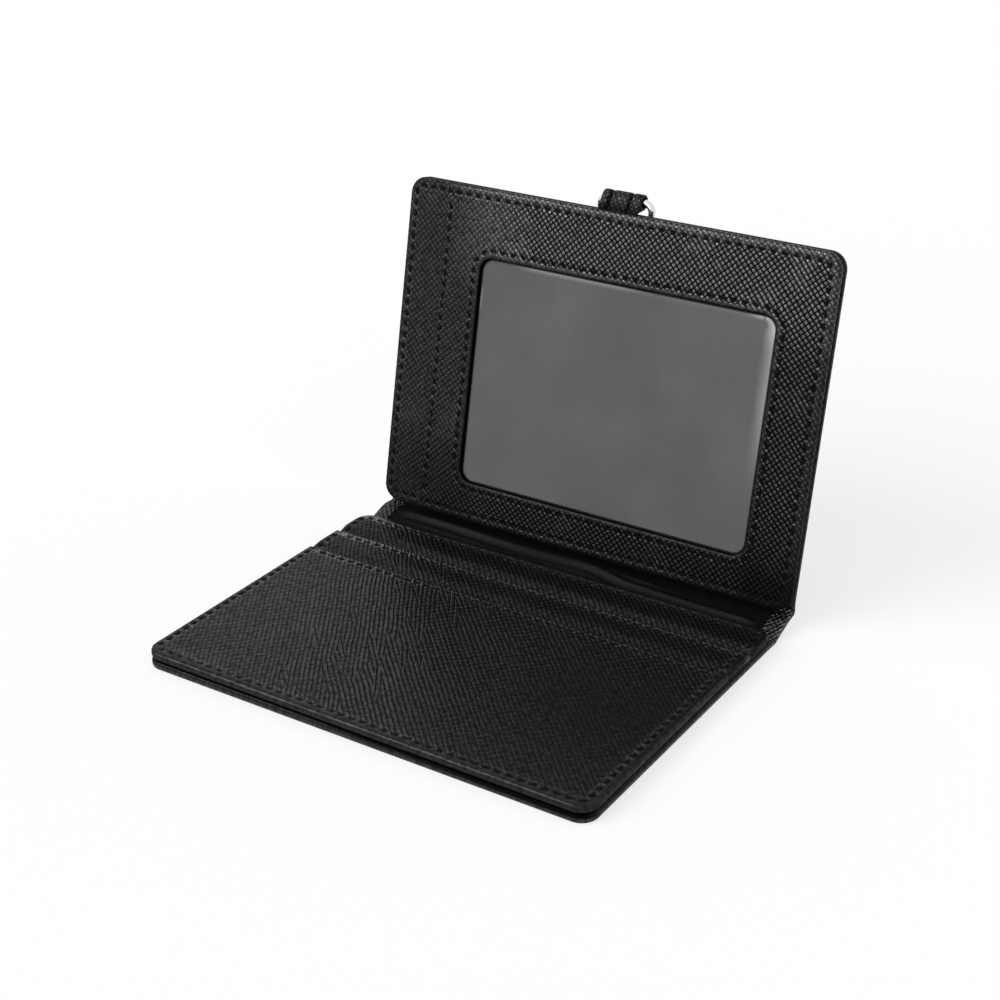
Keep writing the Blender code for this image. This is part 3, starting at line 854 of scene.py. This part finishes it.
waxed_thread = thread_material()
lower_stitches = sew("lower_leaf_stitches", [(leaf_seam, on_lower_inside),
                                             (mirrored(leaf_seam), on_lower_outside)])
rear_slot_stitches = sew("rear_slot_stitches", [(middle_seam, on_lower_inside)])
front_slot_stitches = sew("front_slot_stitches", [(front_seam, on_lower_inside)])
for stitches, replaced in ((lower_stitches, "lower_edge_thread"),
                           (rear_slot_stitches, "middle_slot_thread"),
                           (front_slot_stitches, "front_slot_thread")):
    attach(stitches, "lower_leaf")
    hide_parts(replaced)


# Linings of the slots and of the window's pocket. Thin black ribbed cloth, glued in flat behind
# the leather, so only a thread of it shows at a slot's mouth.
rib_pitch = 0.62
cross_pitch = 0.21


def ribbed_cloth(name, coordinate):
    """Fine ribs across the cloth, over the lengthwise threads between them."""
    material, tree, shader = new_material(name)
    times_and_add = partial(work_out, tree, "MULTIPLY_ADD")
    place = coordinate(tree)
    uneven = drift(tree, place, 0.5, 0.10)
    threads = ridge(tree, uneven, radians(90), cross_pitch, 0.45)
    weave = times_and_add(threads, 0.35, ridge(tree, uneven, 0.0, rib_pitch, 0.45))
    pressed = bump(tree, weave, 0.06 * mm)
    proud = times_and_add(attribute(tree, "proud"), 0.28, 0.06)
    set_inputs(tree, shader, {
        "Base Color": mix_tone(tree, weave, (0.0010, 0.0010, 0.0011, 1), (0.0050, 0.0050, 0.0053, 1)),
        "Roughness": times_and_add(noise(tree, place, 0.35, 3.0), 0.3, 0.30),
        "Coat Weight": work_out(tree, "MULTIPLY", proud, times_and_add(weave, 0.55, 0.2)),
        "Normal": pressed, "Coat Normal": pressed, "Coat Roughness": 0.36,
        "Specular IOR Level": 0.02, "Sheen Weight": 0.004, "Sheen Roughness": 0.3})
    return material


def in_millimetres(tree):
    return vector_math(tree, "SCALE", add_node(tree, "TexCoord").outputs["Object"], 1 / mm)


pocket_cloth = ribbed_cloth("pocket_cloth", in_millimetres)
for lining in ("base_lining", "middle_slot_lining", "window_lining"):
    dress(lining, pocket_cloth)


# Spine lining. A band of the same ribbed cloth inside the fold. It tucks in under the panels of
# both leaves. Between them it lies in one loose roll that swings forward right of the middle.
lining_half_width = 48.15 * mm
lining_thickness = 0.22 * mm
lining_level = 0.72 * mm
lining_tuck = 7.6 * mm
roll_middle = 44.6 * mm
roll_swing = 2.1 * mm
roll_half_width = 1.15 * mm


def slab(top, bottom):
    """A closed sheet from a grid of top points and one of bottom points."""
    rows, columns = top.shape[:2]
    at = np.arange(rows * columns).reshape(rows, columns)
    under = at + rows * columns
    faces = []
    for i in range(rows - 1):
        for j in range(columns - 1):
            faces.append((at[i, j], at[i + 1, j], at[i + 1, j + 1], at[i, j + 1]))
            faces.append((under[i, j], under[i, j + 1], under[i + 1, j + 1], under[i + 1, j]))
    rim = [(i, 0) for i in range(rows)] + [(rows - 1, j) for j in range(1, columns)]
    rim += [(i, columns - 1) for i in range(rows - 2, -1, -1)] + [(0, j) for j in range(columns - 2, 0, -1)]
    for here, there in zip(rim, rim[1:] + rim[:1]):
        faces.append((under[here], under[there], at[there], at[here]))
    points = np.concatenate([top.reshape(-1, 3), bottom.reshape(-1, 3)])
    return points, [[int(n) for n in face] for face in faces]


def lining_height(x, flat):
    """How high the cloth lies above the skin's outer face. It climbs over the board's edge at
    each leaf. Between them it rises in one loose roll, which swings over to the lower leaf right
    of the middle, and curls up where it swings."""
    climb = smooth_step(np.abs(flat - fold_middle), 4.5 * mm, 5.9 * mm)
    swing = smooth_step(x, 3 * mm, 17 * mm)
    crest = roll_middle - roll_swing * swing + 0.25 * mm * np.sin(x / (9 * mm))
    spread = roll_half_width + 0.45 * mm * bell(x, -1 * mm, 10 * mm) - 0.25 * mm * swing
    roll = (0.8 + 0.12 * np.sin(x / (6 * mm))) * bell(flat, crest, spread)
    curl = bell(x, 17 * mm, 8 * mm) * bell(flat, crest + 1.9 * mm, 0.8 * mm)
    second = (0.2 + 0.1 * np.sin(x / (7 * mm))) * bell(flat, crest - 2.4 * mm, 0.6 * mm)
    settle = smooth_step(lining_half_width - np.abs(x), 0, 5 * mm)
    free = lining_level + (roll + 0.5 * curl + second * (1 - swing)) * settle * mm
    return free + (shell_top + 0.03 * mm + 0.8 * lining_thickness - free) * climb


def lining_half(name, low, high, material):
    x = np.linspace(-lining_half_width, lining_half_width, 260)
    flat = np.linspace(low, high, 34)
    across, along = np.meshgrid(x, flat, indexing="ij")
    height = lining_height(across, along)
    top, bottom = (folded(across, along, level).reshape(*across.shape, 3)
                   for level in (height, height - lining_thickness))
    points, faces = slab(top, bottom)
    hide = grid_points(np.tile(along.ravel(), 2), np.tile(across.ravel(), 2), 0)
    between_leaves = 1 - smooth_step(np.abs(along - fold_middle), 4.1 * mm, 4.7 * mm)
    proud = np.clip((height - lining_level) / (0.8 * mm), 0, 1) * between_leaves
    return add_piece(name, points, faces, material, hide, proud=np.tile(proud.ravel(), 2))


spine_cloth = ribbed_cloth("spine_cloth", lambda tree: attribute(tree, "hide", "Vector"))
spine_lining_lower = lining_half("spine_lining_lower", fold_middle - lining_tuck, fold_middle, spine_cloth)
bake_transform(spine_lining_lower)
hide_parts("spine_lining")
spine_lining_upper = lining_half("spine_lining_upper", fold_middle, fold_middle + lining_tuck, spine_cloth)
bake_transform(spine_lining_upper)


# Entry strip. A leather strip down the left edge of the upper leaf. A card slides in between it
# and the window frame, under which its inner edge runs on as a tongue.
leaf_turn = lower_turn + upper_turn
turn_cos, turn_sin = cos(leaf_turn), sin(leaf_turn)
leaf_origin = upper_axis + Matrix.Rotation(leaf_turn, 3, "X") @ Vector((0, first_crease, -skin_thickness))
entry_x = -42.0 * mm
entry_top = 2.8 * mm
entry_tongue_end = -37.5 * mm
entry_tongue_half = 36.2 * mm
entry_swell_height = 0.02 * mm
entry_notch = (entry_x - 0.3 * mm, entry_x - 0.12 * mm)


def raised(x, y, z):
    """The world place of a point of the upper leaf. Its x runs along the fold, y from the fold
    edge to the top edge, and z from the back of the leaf to its front."""
    return grid_points(x, leaf_origin.y + y * turn_cos - z * turn_sin,
                       leaf_origin.z + y * turn_sin + z * turn_cos)


entry_edge = panel_edge(panel_bottom, entry_top, 0.8 * mm, 0.35 * mm)
entry_sheet = LeatherSheet((-half_depth, half_depth, -half_width, entry_tongue_end), entry_edge,
                           corner_radius, hem=(0.5 * mm, 0.1 * mm), extra=((), entry_notch))
under_frame = smooth_step(entry_sheet.q, *entry_notch)
entry_y = -entry_sheet.p * (1 - (1 - entry_tongue_half / half_depth) * under_frame)
entry_dent = press(entry_sheet.q, -entry_sheet.p, leaf_seam) * (1 - under_frame)
entry_swell = ripple(entry_sheet.p, entry_sheet.q, 15 * mm, entry_swell_height, 2.1) * (1 - entry_sheet.rim)
entry_z = entry_sheet.z - np.where(entry_sheet.z > entry_top - 0.2 * mm, entry_dent + entry_swell, 0)
window_leather = leather("window_leather", 0.11 * mm, cross_cut=4.0, grain_angle=radians(2),
                         fork_place=-500.0, waver=0.5, flat_rim=0.4, filled=0.0)


def finish_of(x, y):
    """How much duller the upper leaf's leather is than at its top edge, and how far wax fills
    its grooves. Both are most at the left, where fingers hold the leaf to open it."""
    below_top = 1 - smooth_step(y, 12 * mm, 27 * mm) * smooth_step(x, entry_x - 2 * mm, entry_x + 14 * mm)
    low_down = 1 - smooth_step(y, -34 * mm, -12 * mm)
    at_right = smooth_step(x, 38 * mm, 43 * mm) * (1 - smooth_step(y, 8 * mm, 24 * mm))
    low_right = smooth_step(x, 0, 38 * mm) * (1 - smooth_step(y, -34 * mm, -26 * mm))
    gripped = 0.42 * (1 - smooth_step(x, -34 * mm, -18 * mm))
    dulled = 0.42 * below_top + 0.26 * low_down * (1 - gripped) + 0.16 * at_right + 0.14 * low_right
    return {"dulled": dulled + 0.75 * gripped, "filled": gripped}


entry_strip = add_piece("entry_edge_strip", raised(entry_sheet.q, entry_y, entry_z), entry_sheet.faces(),
                        window_leather, grid_points(entry_sheet.hide_q - 70 * mm, -entry_sheet.hide_p, 0),
                        rim=entry_sheet.rim, sewn=sewn_in(entry_dent), **finish_of(entry_sheet.q, entry_y))
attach(entry_strip, "upper_leaf")
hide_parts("entry_strip")


# Window frame. The leather panel of the upper leaf with a round-cornered window. The leather
# thins into a smooth bevel round the opening, and a seam just outside it holds the clear film.
window_x = (-31.5 * mm, 40.4 * mm)
window_y = (-28.7 * mm, 22.8 * mm)
window_radius = 3.0 * mm
window_seam_inset = 1.8 * mm
window_bevel = 0.6 * mm
window_blend = (2.4 * mm, 7.2 * mm)
leaf_top = front_high.z
bevel_gaps = np.array((0, 0.04, 0.15, 0.33, 0.58, 0.85, 1.1, 1.45, 1.8, 2.15)) * mm


def hole_lines(low, high):
    """Grid lines at the hole's edges and just outside them."""
    return sorted([*(low - bevel_gaps), *(high + bevel_gaps)])


def round_hole(sheet, low, high):
    """Bends the grid round the window's corners, and gives each point's distance outside it."""
    middle = ((low[0] + high[0]) / 2, (low[1] + high[1]) / 2)
    side_p = np.where(sheet.p < middle[0], -1, 1)
    side_q = np.where(sheet.q < middle[1], -1, 1)
    out_p = np.maximum(low[0] - sheet.p, sheet.p - high[0])
    out_q = np.maximum(low[1] - sheet.q, sheet.q - high[1])
    away = np.maximum(out_p, out_q)
    outside = away > -1e-9
    radius = (window_radius + away) * (1 - smooth_step(away, *window_blend))
    past = np.abs(out_p - out_q)
    in_arc = outside & (past < radius)
    safe = np.where(in_arc, radius, 1)
    swing = pi / 4 * (1 - past / safe)
    angle = np.where(out_p >= out_q, swing, pi / 2 - swing)
    corner_p = np.where(side_p < 0, low[0], high[0]) + side_p * away
    corner_q = np.where(side_q < 0, low[1], high[1]) + side_q * away
    new_p = np.where(in_arc, corner_p - side_p * radius * (1 - np.cos(angle)), sheet.p)
    new_q = np.where(in_arc, corner_q - side_q * radius * (1 - np.sin(angle)), sheet.q)
    return new_p, new_q, np.where(outside, away, 0)


window_low = (window_y[0], -window_x[1])
window_high = (window_y[1], -window_x[0])
window_sheet = LeatherSheet((-half_depth, half_depth, -half_width, -entry_x),
                            panel_edge(front_floor, leaf_top), corner_radius,
                            hem=(0.55 * mm, 0.4 * mm),
                            extra=(hole_lines(window_low[0], window_high[0]),
                                   hole_lines(window_low[1], window_high[1])))
line_p = window_sheet.p[:, window_sheet.along // 2]
line_q = window_sheet.q[window_sheet.across // 2]
hole_box = [int(np.argmin(np.abs(line - place))) for line, place in
            ((line_p, window_low[0]), (line_p, window_high[0]),
             (line_q, window_low[1]), (line_q, window_high[1]))]
frame_p, frame_q, from_hole = round_hole(window_sheet, window_low, window_high)
frame_x, frame_y = -frame_q, frame_p
window_seam = outline(window_x[0] - window_seam_inset, window_x[1] + window_seam_inset,
                      window_y[0] - window_seam_inset, window_y[1] + window_seam_inset,
                      window_radius + window_seam_inset)
entry_seam_inset = 1.2 * mm
entry_seam_x = entry_x + entry_seam_inset
entry_seam_end = half_depth - 2 * seam_inset
entry_seam = spaced([(entry_seam_x, -entry_seam_end), (entry_seam_x, entry_seam_end)])
on_top = window_sheet.z > leaf_top - 0.5 * mm
frame_dent = press(frame_x, frame_y, leaf_seam, window_seam, entry_seam) * on_top
frame_swell = ripple(frame_x, frame_y, 24 * mm, swell, 3.3) * (1 - window_sheet.rim)
bevel = np.sqrt(1 - (1 - np.clip(from_hole / window_bevel, 0, 1)) ** 2)
frame_z = window_sheet.z - np.where(on_top, (frame_dent + frame_swell) * bevel, 0)
frame_z = np.where(on_top, front_floor + (frame_z - front_floor) * bevel, frame_z)
frame_rim = np.maximum(window_sheet.rim, on_top * (2 - 2 * smooth_step(from_hole, 0.7 * mm, 1.3 * mm)))
# Painted shade: the foot of the window's bevel is coloured black and gets no coat, for the shade on its
# steep inner wall. The seams' slots are painted the same way.
frame_shade = np.maximum(sewn_in(frame_dent), on_top * (1 - smooth_step(from_hole, 0.2 * mm, 0.42 * mm)))
frame_hide = grid_points(frame_x + window_sheet.q - window_sheet.hide_q,
                         frame_y + window_sheet.hide_p - window_sheet.p + 120 * mm, 0)
window_frame = add_piece("window_frame", raised(frame_x, frame_y, frame_z), window_sheet.faces(hole_box),
                         window_leather, frame_hide, rim=frame_rim, sewn=frame_shade,
                         **finish_of(frame_x, frame_y))
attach(window_frame, "upper_leaf")
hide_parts("window_panel")


# Window film. A sheet of clear plastic with a frosted face, held behind the frame by the window's
# seam. It isn't quite flat, and it is finely scratched from use. Near the window's edges it carries
# a painted highlight where it bends, and a painted shadow line just inside the frame.
film_level = 3.12 * mm
film_thickness = 0.15 * mm
film_overlap = 5.5 * mm
film_swell = 0.07 * mm
film_grid_step = 1.0 * mm
film_bend_gaps = np.array((0.12, 0.24, 0.36, 0.48, 0.6, 0.75, 0.9, 1.1, 1.3, 1.6, 1.9, 2.2, 2.6,
                           3.0)) * mm
border_width = 0.42 * mm


def film_lines(low, high):
    """Grid lines across the film, closer together near the window's edges."""
    near = [*(low + film_bend_gaps), *(high - film_bend_gaps), low, high]
    return grid_lines(low - film_overlap, high + film_overlap, film_grid_step, extra=near)


def film_highlight(x, y):
    """How far a painted highlight whitens the film where it bends to pass under the frame: most at the
    top right corner, then down the right edge, and in a thin line along part of the top edge."""
    radius = window_radius
    right, top = window_x[1] - x, window_y[1] - y
    in_corner = (right < radius) & (top < radius)
    reach = np.hypot(radius - right, radius - top)
    corner_gap = radius - reach
    sideways = np.where(in_corner, (radius - right) / np.maximum(reach, 0.01 * mm), right < radius)
    gap = np.where(in_corner, corner_gap, np.where(right < radius, right, top)) - border_width
    near = np.clip(1 - gap / ((0.9 + 1.8 * sideways ** 2) * mm), 0, 1) ** 1.4
    down = 0.45 * smooth_step(y, -17 * mm, 6 * mm) + 0.55 * smooth_step(y, 14.5 * mm, 21.5 * mm)
    right_edge = near * down * (sideways > 0)
    along_top = 0.4 * smooth_step(x, -24 * mm, -18 * mm) * (1 - 0.75 * smooth_step(x, 2 * mm, 12 * mm))
    along_top += 0.85 * smooth_step(x, 33 * mm, 37.4 * mm) * (x < window_x[1] - radius)
    top_line = np.clip(1 - (top - border_width) / (0.9 * mm), 0, 1) ** 1.4 * along_top
    left_line = np.clip(1 - (x - window_x[0] - border_width) / (0.5 * mm), 0, 1) * smooth_step(
        y, 10 * mm, 13 * mm) * (1 - smooth_step(y, 15 * mm, 17 * mm))
    return np.clip(np.maximum.reduce([right_edge, top_line, 0.4 * left_line]), 0, 1)


def dark_border(x, y):
    """1 on the painted shadow, a black line that frames the film just inside the window's edge."""
    middle = ((window_x[0] + window_x[1]) / 2, (window_y[0] + window_y[1]) / 2)
    out_x = np.abs(x - middle[0]) - (window_x[1] - middle[0] - window_radius)
    out_y = np.abs(y - middle[1]) - (window_y[1] - middle[1] - window_radius)
    past = np.hypot(np.maximum(out_x, 0), np.maximum(out_y, 0)) + np.minimum(np.maximum(out_x, out_y), 0)
    return smooth_step(past - window_radius, -border_width, -0.6 * border_width)


def film_material():
    material, tree, shader = new_material("frosted_film")
    spread = partial(spread_out, tree)
    spot = in_millimetres(tree)
    haze = noise(tree, spot, 0.05, 3.0)
    grain = noise(tree, spot, 5.0, 3.0)
    streak = noise(tree, vector_math(tree, "MULTIPLY", spot, (0.30, 0.30, 0.12)), 1.0, 2.0)
    slant = vector_math(tree, "DOT_PRODUCT", spot, (-1.0, 0.0, 1.0))
    hatch = work_out(tree, "MULTIPLY_ADD", work_out(tree, "PINGPONG", slant, 0.5),
                     spread(streak, 0.4, 0.6, 0.0, 0.9), spread(streak, 0.3, 0.7, 0.25, 0.0))
    cast = work_out(tree, "ADD", spread(haze, 0.3, 0.7, 0.0, 0.5), hatch)
    tone = mix_tone(tree, cast, (0.079, 0.0795, 0.081, 1), (0.115, 0.1155, 0.118, 1))
    # Painted highlight: the film is coloured pale where it bends under the frame.
    highlighted = mix_tone(tree, attribute(tree, "bend"), tone, (0.50, 0.50, 0.51, 1))
    # Painted shadow: a black line is coloured in just inside the window's edge.
    shadowed = mix_tone(tree, attribute(tree, "border"), highlighted, (0.002, 0.002, 0.002, 1))
    set_inputs(tree, shader, {
        "Base Color": shadowed, "Roughness": work_out(tree, "MULTIPLY_ADD", grain, 0.16, 0.34),
        "Normal": bump(tree, grain, 0.006 * mm), "Specular IOR Level": 0.22, "Alpha": 0.9})
    return material


film_across, film_up = np.meshgrid(film_lines(*window_x), film_lines(*window_y), indexing="ij")
film_height = film_level + ripple(film_across, film_up, 34 * mm, film_swell, 4.4)
film_highlight_mask = film_highlight(film_across, film_up)
film_border = dark_border(film_across, film_up)
film_front, film_back = (raised(film_across, film_up, level).reshape(*film_across.shape, 3)
                         for level in (film_height, film_height - film_thickness))
clear_film = add_piece("clear_film", *slab(film_front, film_back), film_material(),
                       bend=np.tile(film_highlight_mask.ravel(), 2), border=np.tile(film_border.ravel(), 2))
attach(clear_film, "upper_leaf")
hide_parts("window_film")


# Stitches of the upper leaf. The same lockstitch goes round the leaf through all its layers, round
# the window, and down the open edge of the window frame.
def on_upper_inside(x, y, up):
    return raised(x, y, np.where(x > entry_x, leaf_top, entry_top) + up)


def on_upper_outside(x, y, up):
    return raised(-x, y, back_level - up)


upper_stitches = sew("upper_leaf_stitches", [(leaf_seam, on_upper_inside),
                                             (mirrored(leaf_seam), on_upper_outside)])
window_stitches = sew("window_stitches", [(window_seam, on_upper_inside)])
entry_stitches = sew("entry_stitches", [(entry_seam, on_upper_inside)])
for stitches, replaced in ((upper_stitches, "upper_edge_thread"), (window_stitches, "window_thread"),
                           (entry_stitches, "entry_thread")):
    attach(stitches, "upper_leaf")
    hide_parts(replaced)


# Loop. A short leather strap folded over the ring's straight bar. Its ends are glued together and
# sewn in between the skin and the window frame, and it has creased twice across its width.
wire_radius = 0.8 * mm
loop_inner = wire_radius + 0.3 * mm
loop_outer = loop_inner + 0.6 * mm
loop_half_width = 4.8 * mm
bar_spot = Matrix.Rotation(-leaf_turn, 3, "X") @ (Vector(ring_joint["pos_m"]) - leaf_origin)
tail_end = 31.0 * mm
tail_middle = 1.95 * mm
tail_half = 0.35 * mm
root_y = half_depth + 0.2 * mm
loop_edge_radius = 0.25 * mm
loop_crease_spread = 0.33 * mm
loop_creases = ((-2.75 * mm, 0.40 * mm), (2.1 * mm, 0.36 * mm))


def loop_outline():
    """The loop's outer shape seen from its side, (y, z) in the upper leaf, smooth and closed."""
    points = []
    for side in (1, -1):
        root = Vector((root_y, tail_middle + side * tail_half))
        away = root - Vector((bar_spot.y, bar_spot.z))
        touch = atan2(away.y, away.x) - side * acos(loop_outer / away.length)
        points.append((root, touch % (2 * pi)))
    (front, start), (back, end) = points
    end = end - 2 * pi if end > start else end
    turns = np.linspace(start, end, 30)
    arc = [(bar_spot.y + loop_outer * cos(a), bar_spot.z + loop_outer * sin(a)) for a in turns]
    front_leg = [tuple(front.lerp(Vector(arc[0]), share)) for share in np.linspace(0, 1, 7)[:-1]]
    back_leg = [tuple(Vector(arc[-1]).lerp(back, share)) for share in np.linspace(0, 1, 7)[1:]]
    front_tail = [(y, front.y) for y in np.linspace(tail_end, root_y, 12)[:-1]]
    back_tail = [(y, back.y) for y in np.linspace(root_y, tail_end, 12)[1:]]
    return np.array(front_tail + front_leg + arc + back_leg + back_tail)


def inward(loop):
    """The unit direction into a closed outline at each of its points."""
    ahead = np.roll(loop, -1, axis=0) - np.roll(loop, 1, axis=0)
    ahead /= np.linalg.norm(ahead, axis=1)[:, None]
    turn = np.cross(loop, np.roll(loop, -1, axis=0)).sum()
    return np.column_stack([-ahead[:, 1], ahead[:, 0]]) * (1 if turn > 0 else -1)


def loop_piece():
    outer = loop_outline()
    into = inward(outer)
    hole_turns = np.linspace(0, 2 * pi, 32, endpoint=False)
    hole = np.column_stack([bar_spot.y + loop_inner * np.cos(hole_turns),
                            bar_spot.z + loop_inner * np.sin(hole_turns)])
    hole_out = -inward(hole)
    ends = loop_half_width - loop_edge_radius * (1 - np.sin(np.linspace(0, pi / 2, 5)))
    middle = np.linspace(-ends[0], ends[0], 44)
    stations = np.unique(np.round([*(-ends[::-1][:-1]), *middle, *ends[1:]], 9))
    mesh = bmesh.new()
    layer = mesh.verts.layers.float_vector.new("hide")
    shaded = mesh.verts.layers.float.new("dulled")
    pinched = mesh.verts.layers.float.new("sewn")
    low_down = 0.85 * (1 - smooth_step(outer[:, 0], root_y + 0.3 * mm, bar_spot.y + 0.3 * mm))
    at_bar = bell(outer[:, 0], bar_spot.y, 3 * mm)
    run = distance_run(outer)
    rings = []
    for x in stations:
        over = np.clip((np.abs(x) - ends[0]) / loop_edge_radius, 0, 1)
        shrink = loop_edge_radius * (1 - np.sqrt(1 - over ** 2))
        crease = sum(deep * bell(x, place, loop_crease_spread) for place, deep in loop_creases)
        moved = outer + into * (shrink + crease * at_bar)[:, None]
        inside = hole + hole_out * min(shrink, 0.1 * mm)
        verts = [[mesh.verts.new(place) for place in raised(x, loop[:, 0], loop[:, 1])]
                 for loop in (moved, inside)]
        for n, vert in enumerate(verts[0]):
            vert[layer] = Vector((x, run[n], 0)) / mm
            vert[shaded] = float(low_down[n])
            # Painted shade: the creases are coloured darker and lose their coat.
            vert[pinched] = min(0.95, float(crease) / (0.3 * mm))
        rings.append(verts)
    for here, there in zip(rings, rings[1:]):
        for loop, flip in ((0, False), (1, True)):
            count = len(here[loop])
            for n in range(count):
                m = (n + 1) % count
                corners = (here[loop][n], here[loop][m], there[loop][m], there[loop][n])
                mesh.faces.new(corners[::-1] if flip else corners)
    for ring in (rings[0], rings[-1]):
        edges = [edge for loop in ring for edge in {
            mesh.edges.get((a, b)) for a, b in zip(loop, loop[1:] + loop[:1])}]
        bmesh.ops.triangle_fill(mesh, use_beauty=True, edges=edges)
    bmesh.ops.recalc_face_normals(mesh, faces=mesh.faces)
    data = bpy.data.meshes.new("ring_loop")
    mesh.to_mesh(data)
    mesh.free()
    data.shade_smooth()
    data.set_sharp_from_angle(angle=sharp_edge)
    data.materials.append(loop_leather)
    return new_object("ring_loop", data)


loop_leather = leather("loop_leather", 0.14 * mm, cross_cut=4.0, grain_angle=radians(8),
                       fork_place=-500.0, gloss=0.4)
ring_loop = loop_piece()
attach(ring_loop, "upper_leaf")
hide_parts("loop_tab")


# Ring. A D of polished plated steel wire, bent and butted together inside the loop. Its straight
# bar turns in the loop, and a lanyard's hook would clip on to its bow.
ring_half = 6.2 * mm
ring_depth = 10.6 * mm
ring_corner = 1.8 * mm
ring_slid = 0.36 * mm


def ring_path():
    """Points round the ring's centre line, (x, z) from the middle of its bar."""
    bow_depth = ring_depth - ring_corner
    turns = np.linspace(0, pi / 2, 13)
    right = [(ring_half - ring_corner * (1 - sin(a)), -ring_corner * (1 - cos(a))) for a in turns]
    bow = [(ring_half * cos(a), -ring_corner - bow_depth * sin(a)) for a in np.linspace(0, pi, 61)[1:-1]]
    left = [(-x, z) for x, z in reversed(right)]
    bar = [(x, 0) for x in np.linspace(ring_corner - ring_half, ring_half - ring_corner, 21)[1:-1]]
    return np.array(right + bow + left + bar)


def ring_piece():
    path = ring_path()
    out = -inward(path)
    sides = 20
    around = np.arange(sides) * 2 * pi / sides
    push = wire_radius * np.cos(around)
    bar = Vector(ring_joint["pos_m"])
    points = grid_points(path[:, :1] + ring_slid + out[:, :1] * push, bar.y + wire_radius * np.sin(around),
                         bar.z + path[:, 1:] + out[:, 1:] * push)
    hide = grid_points(distance_run(path)[:, None], around * wire_radius, 0)
    count = len(path)
    faces = []
    for n in range(count):
        faces.extend(between_rings(n * sides, (n + 1) % count * sides, sides))
    return add_piece("steel_ring", points, faces, ring_steel, hide)


ring_steel, steel_tree, steel_shader = new_material("ring_steel")
steel_place = attribute(steel_tree, "hide", "Vector")
drawn = add_node(steel_tree, "Mapping", {"Vector": steel_place, "Scale": (0.6, 9.0, 1.0)}).outputs[0]
scratches = noise(steel_tree, drawn, 2.0, 4.0)
steel_tone = mix_tone(steel_tree, noise(steel_tree, steel_place, 0.6, 2.0), (0.62, 0.62, 0.63, 1),
                      (0.80, 0.80, 0.81, 1))
set_inputs(steel_tree, steel_shader, {
    "Base Color": steel_tone, "Metallic": 1.0, "Normal": bump(steel_tree, scratches, 0.004 * mm),
    "Roughness": work_out(steel_tree, "MULTIPLY_ADD", scratches, 0.22, 0.06)})
steel_ring = ring_piece()
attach(steel_ring, "ring")
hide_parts("lanyard_ring")


def corners(box):
    return [[float(value) for value in corner] for corner in box]
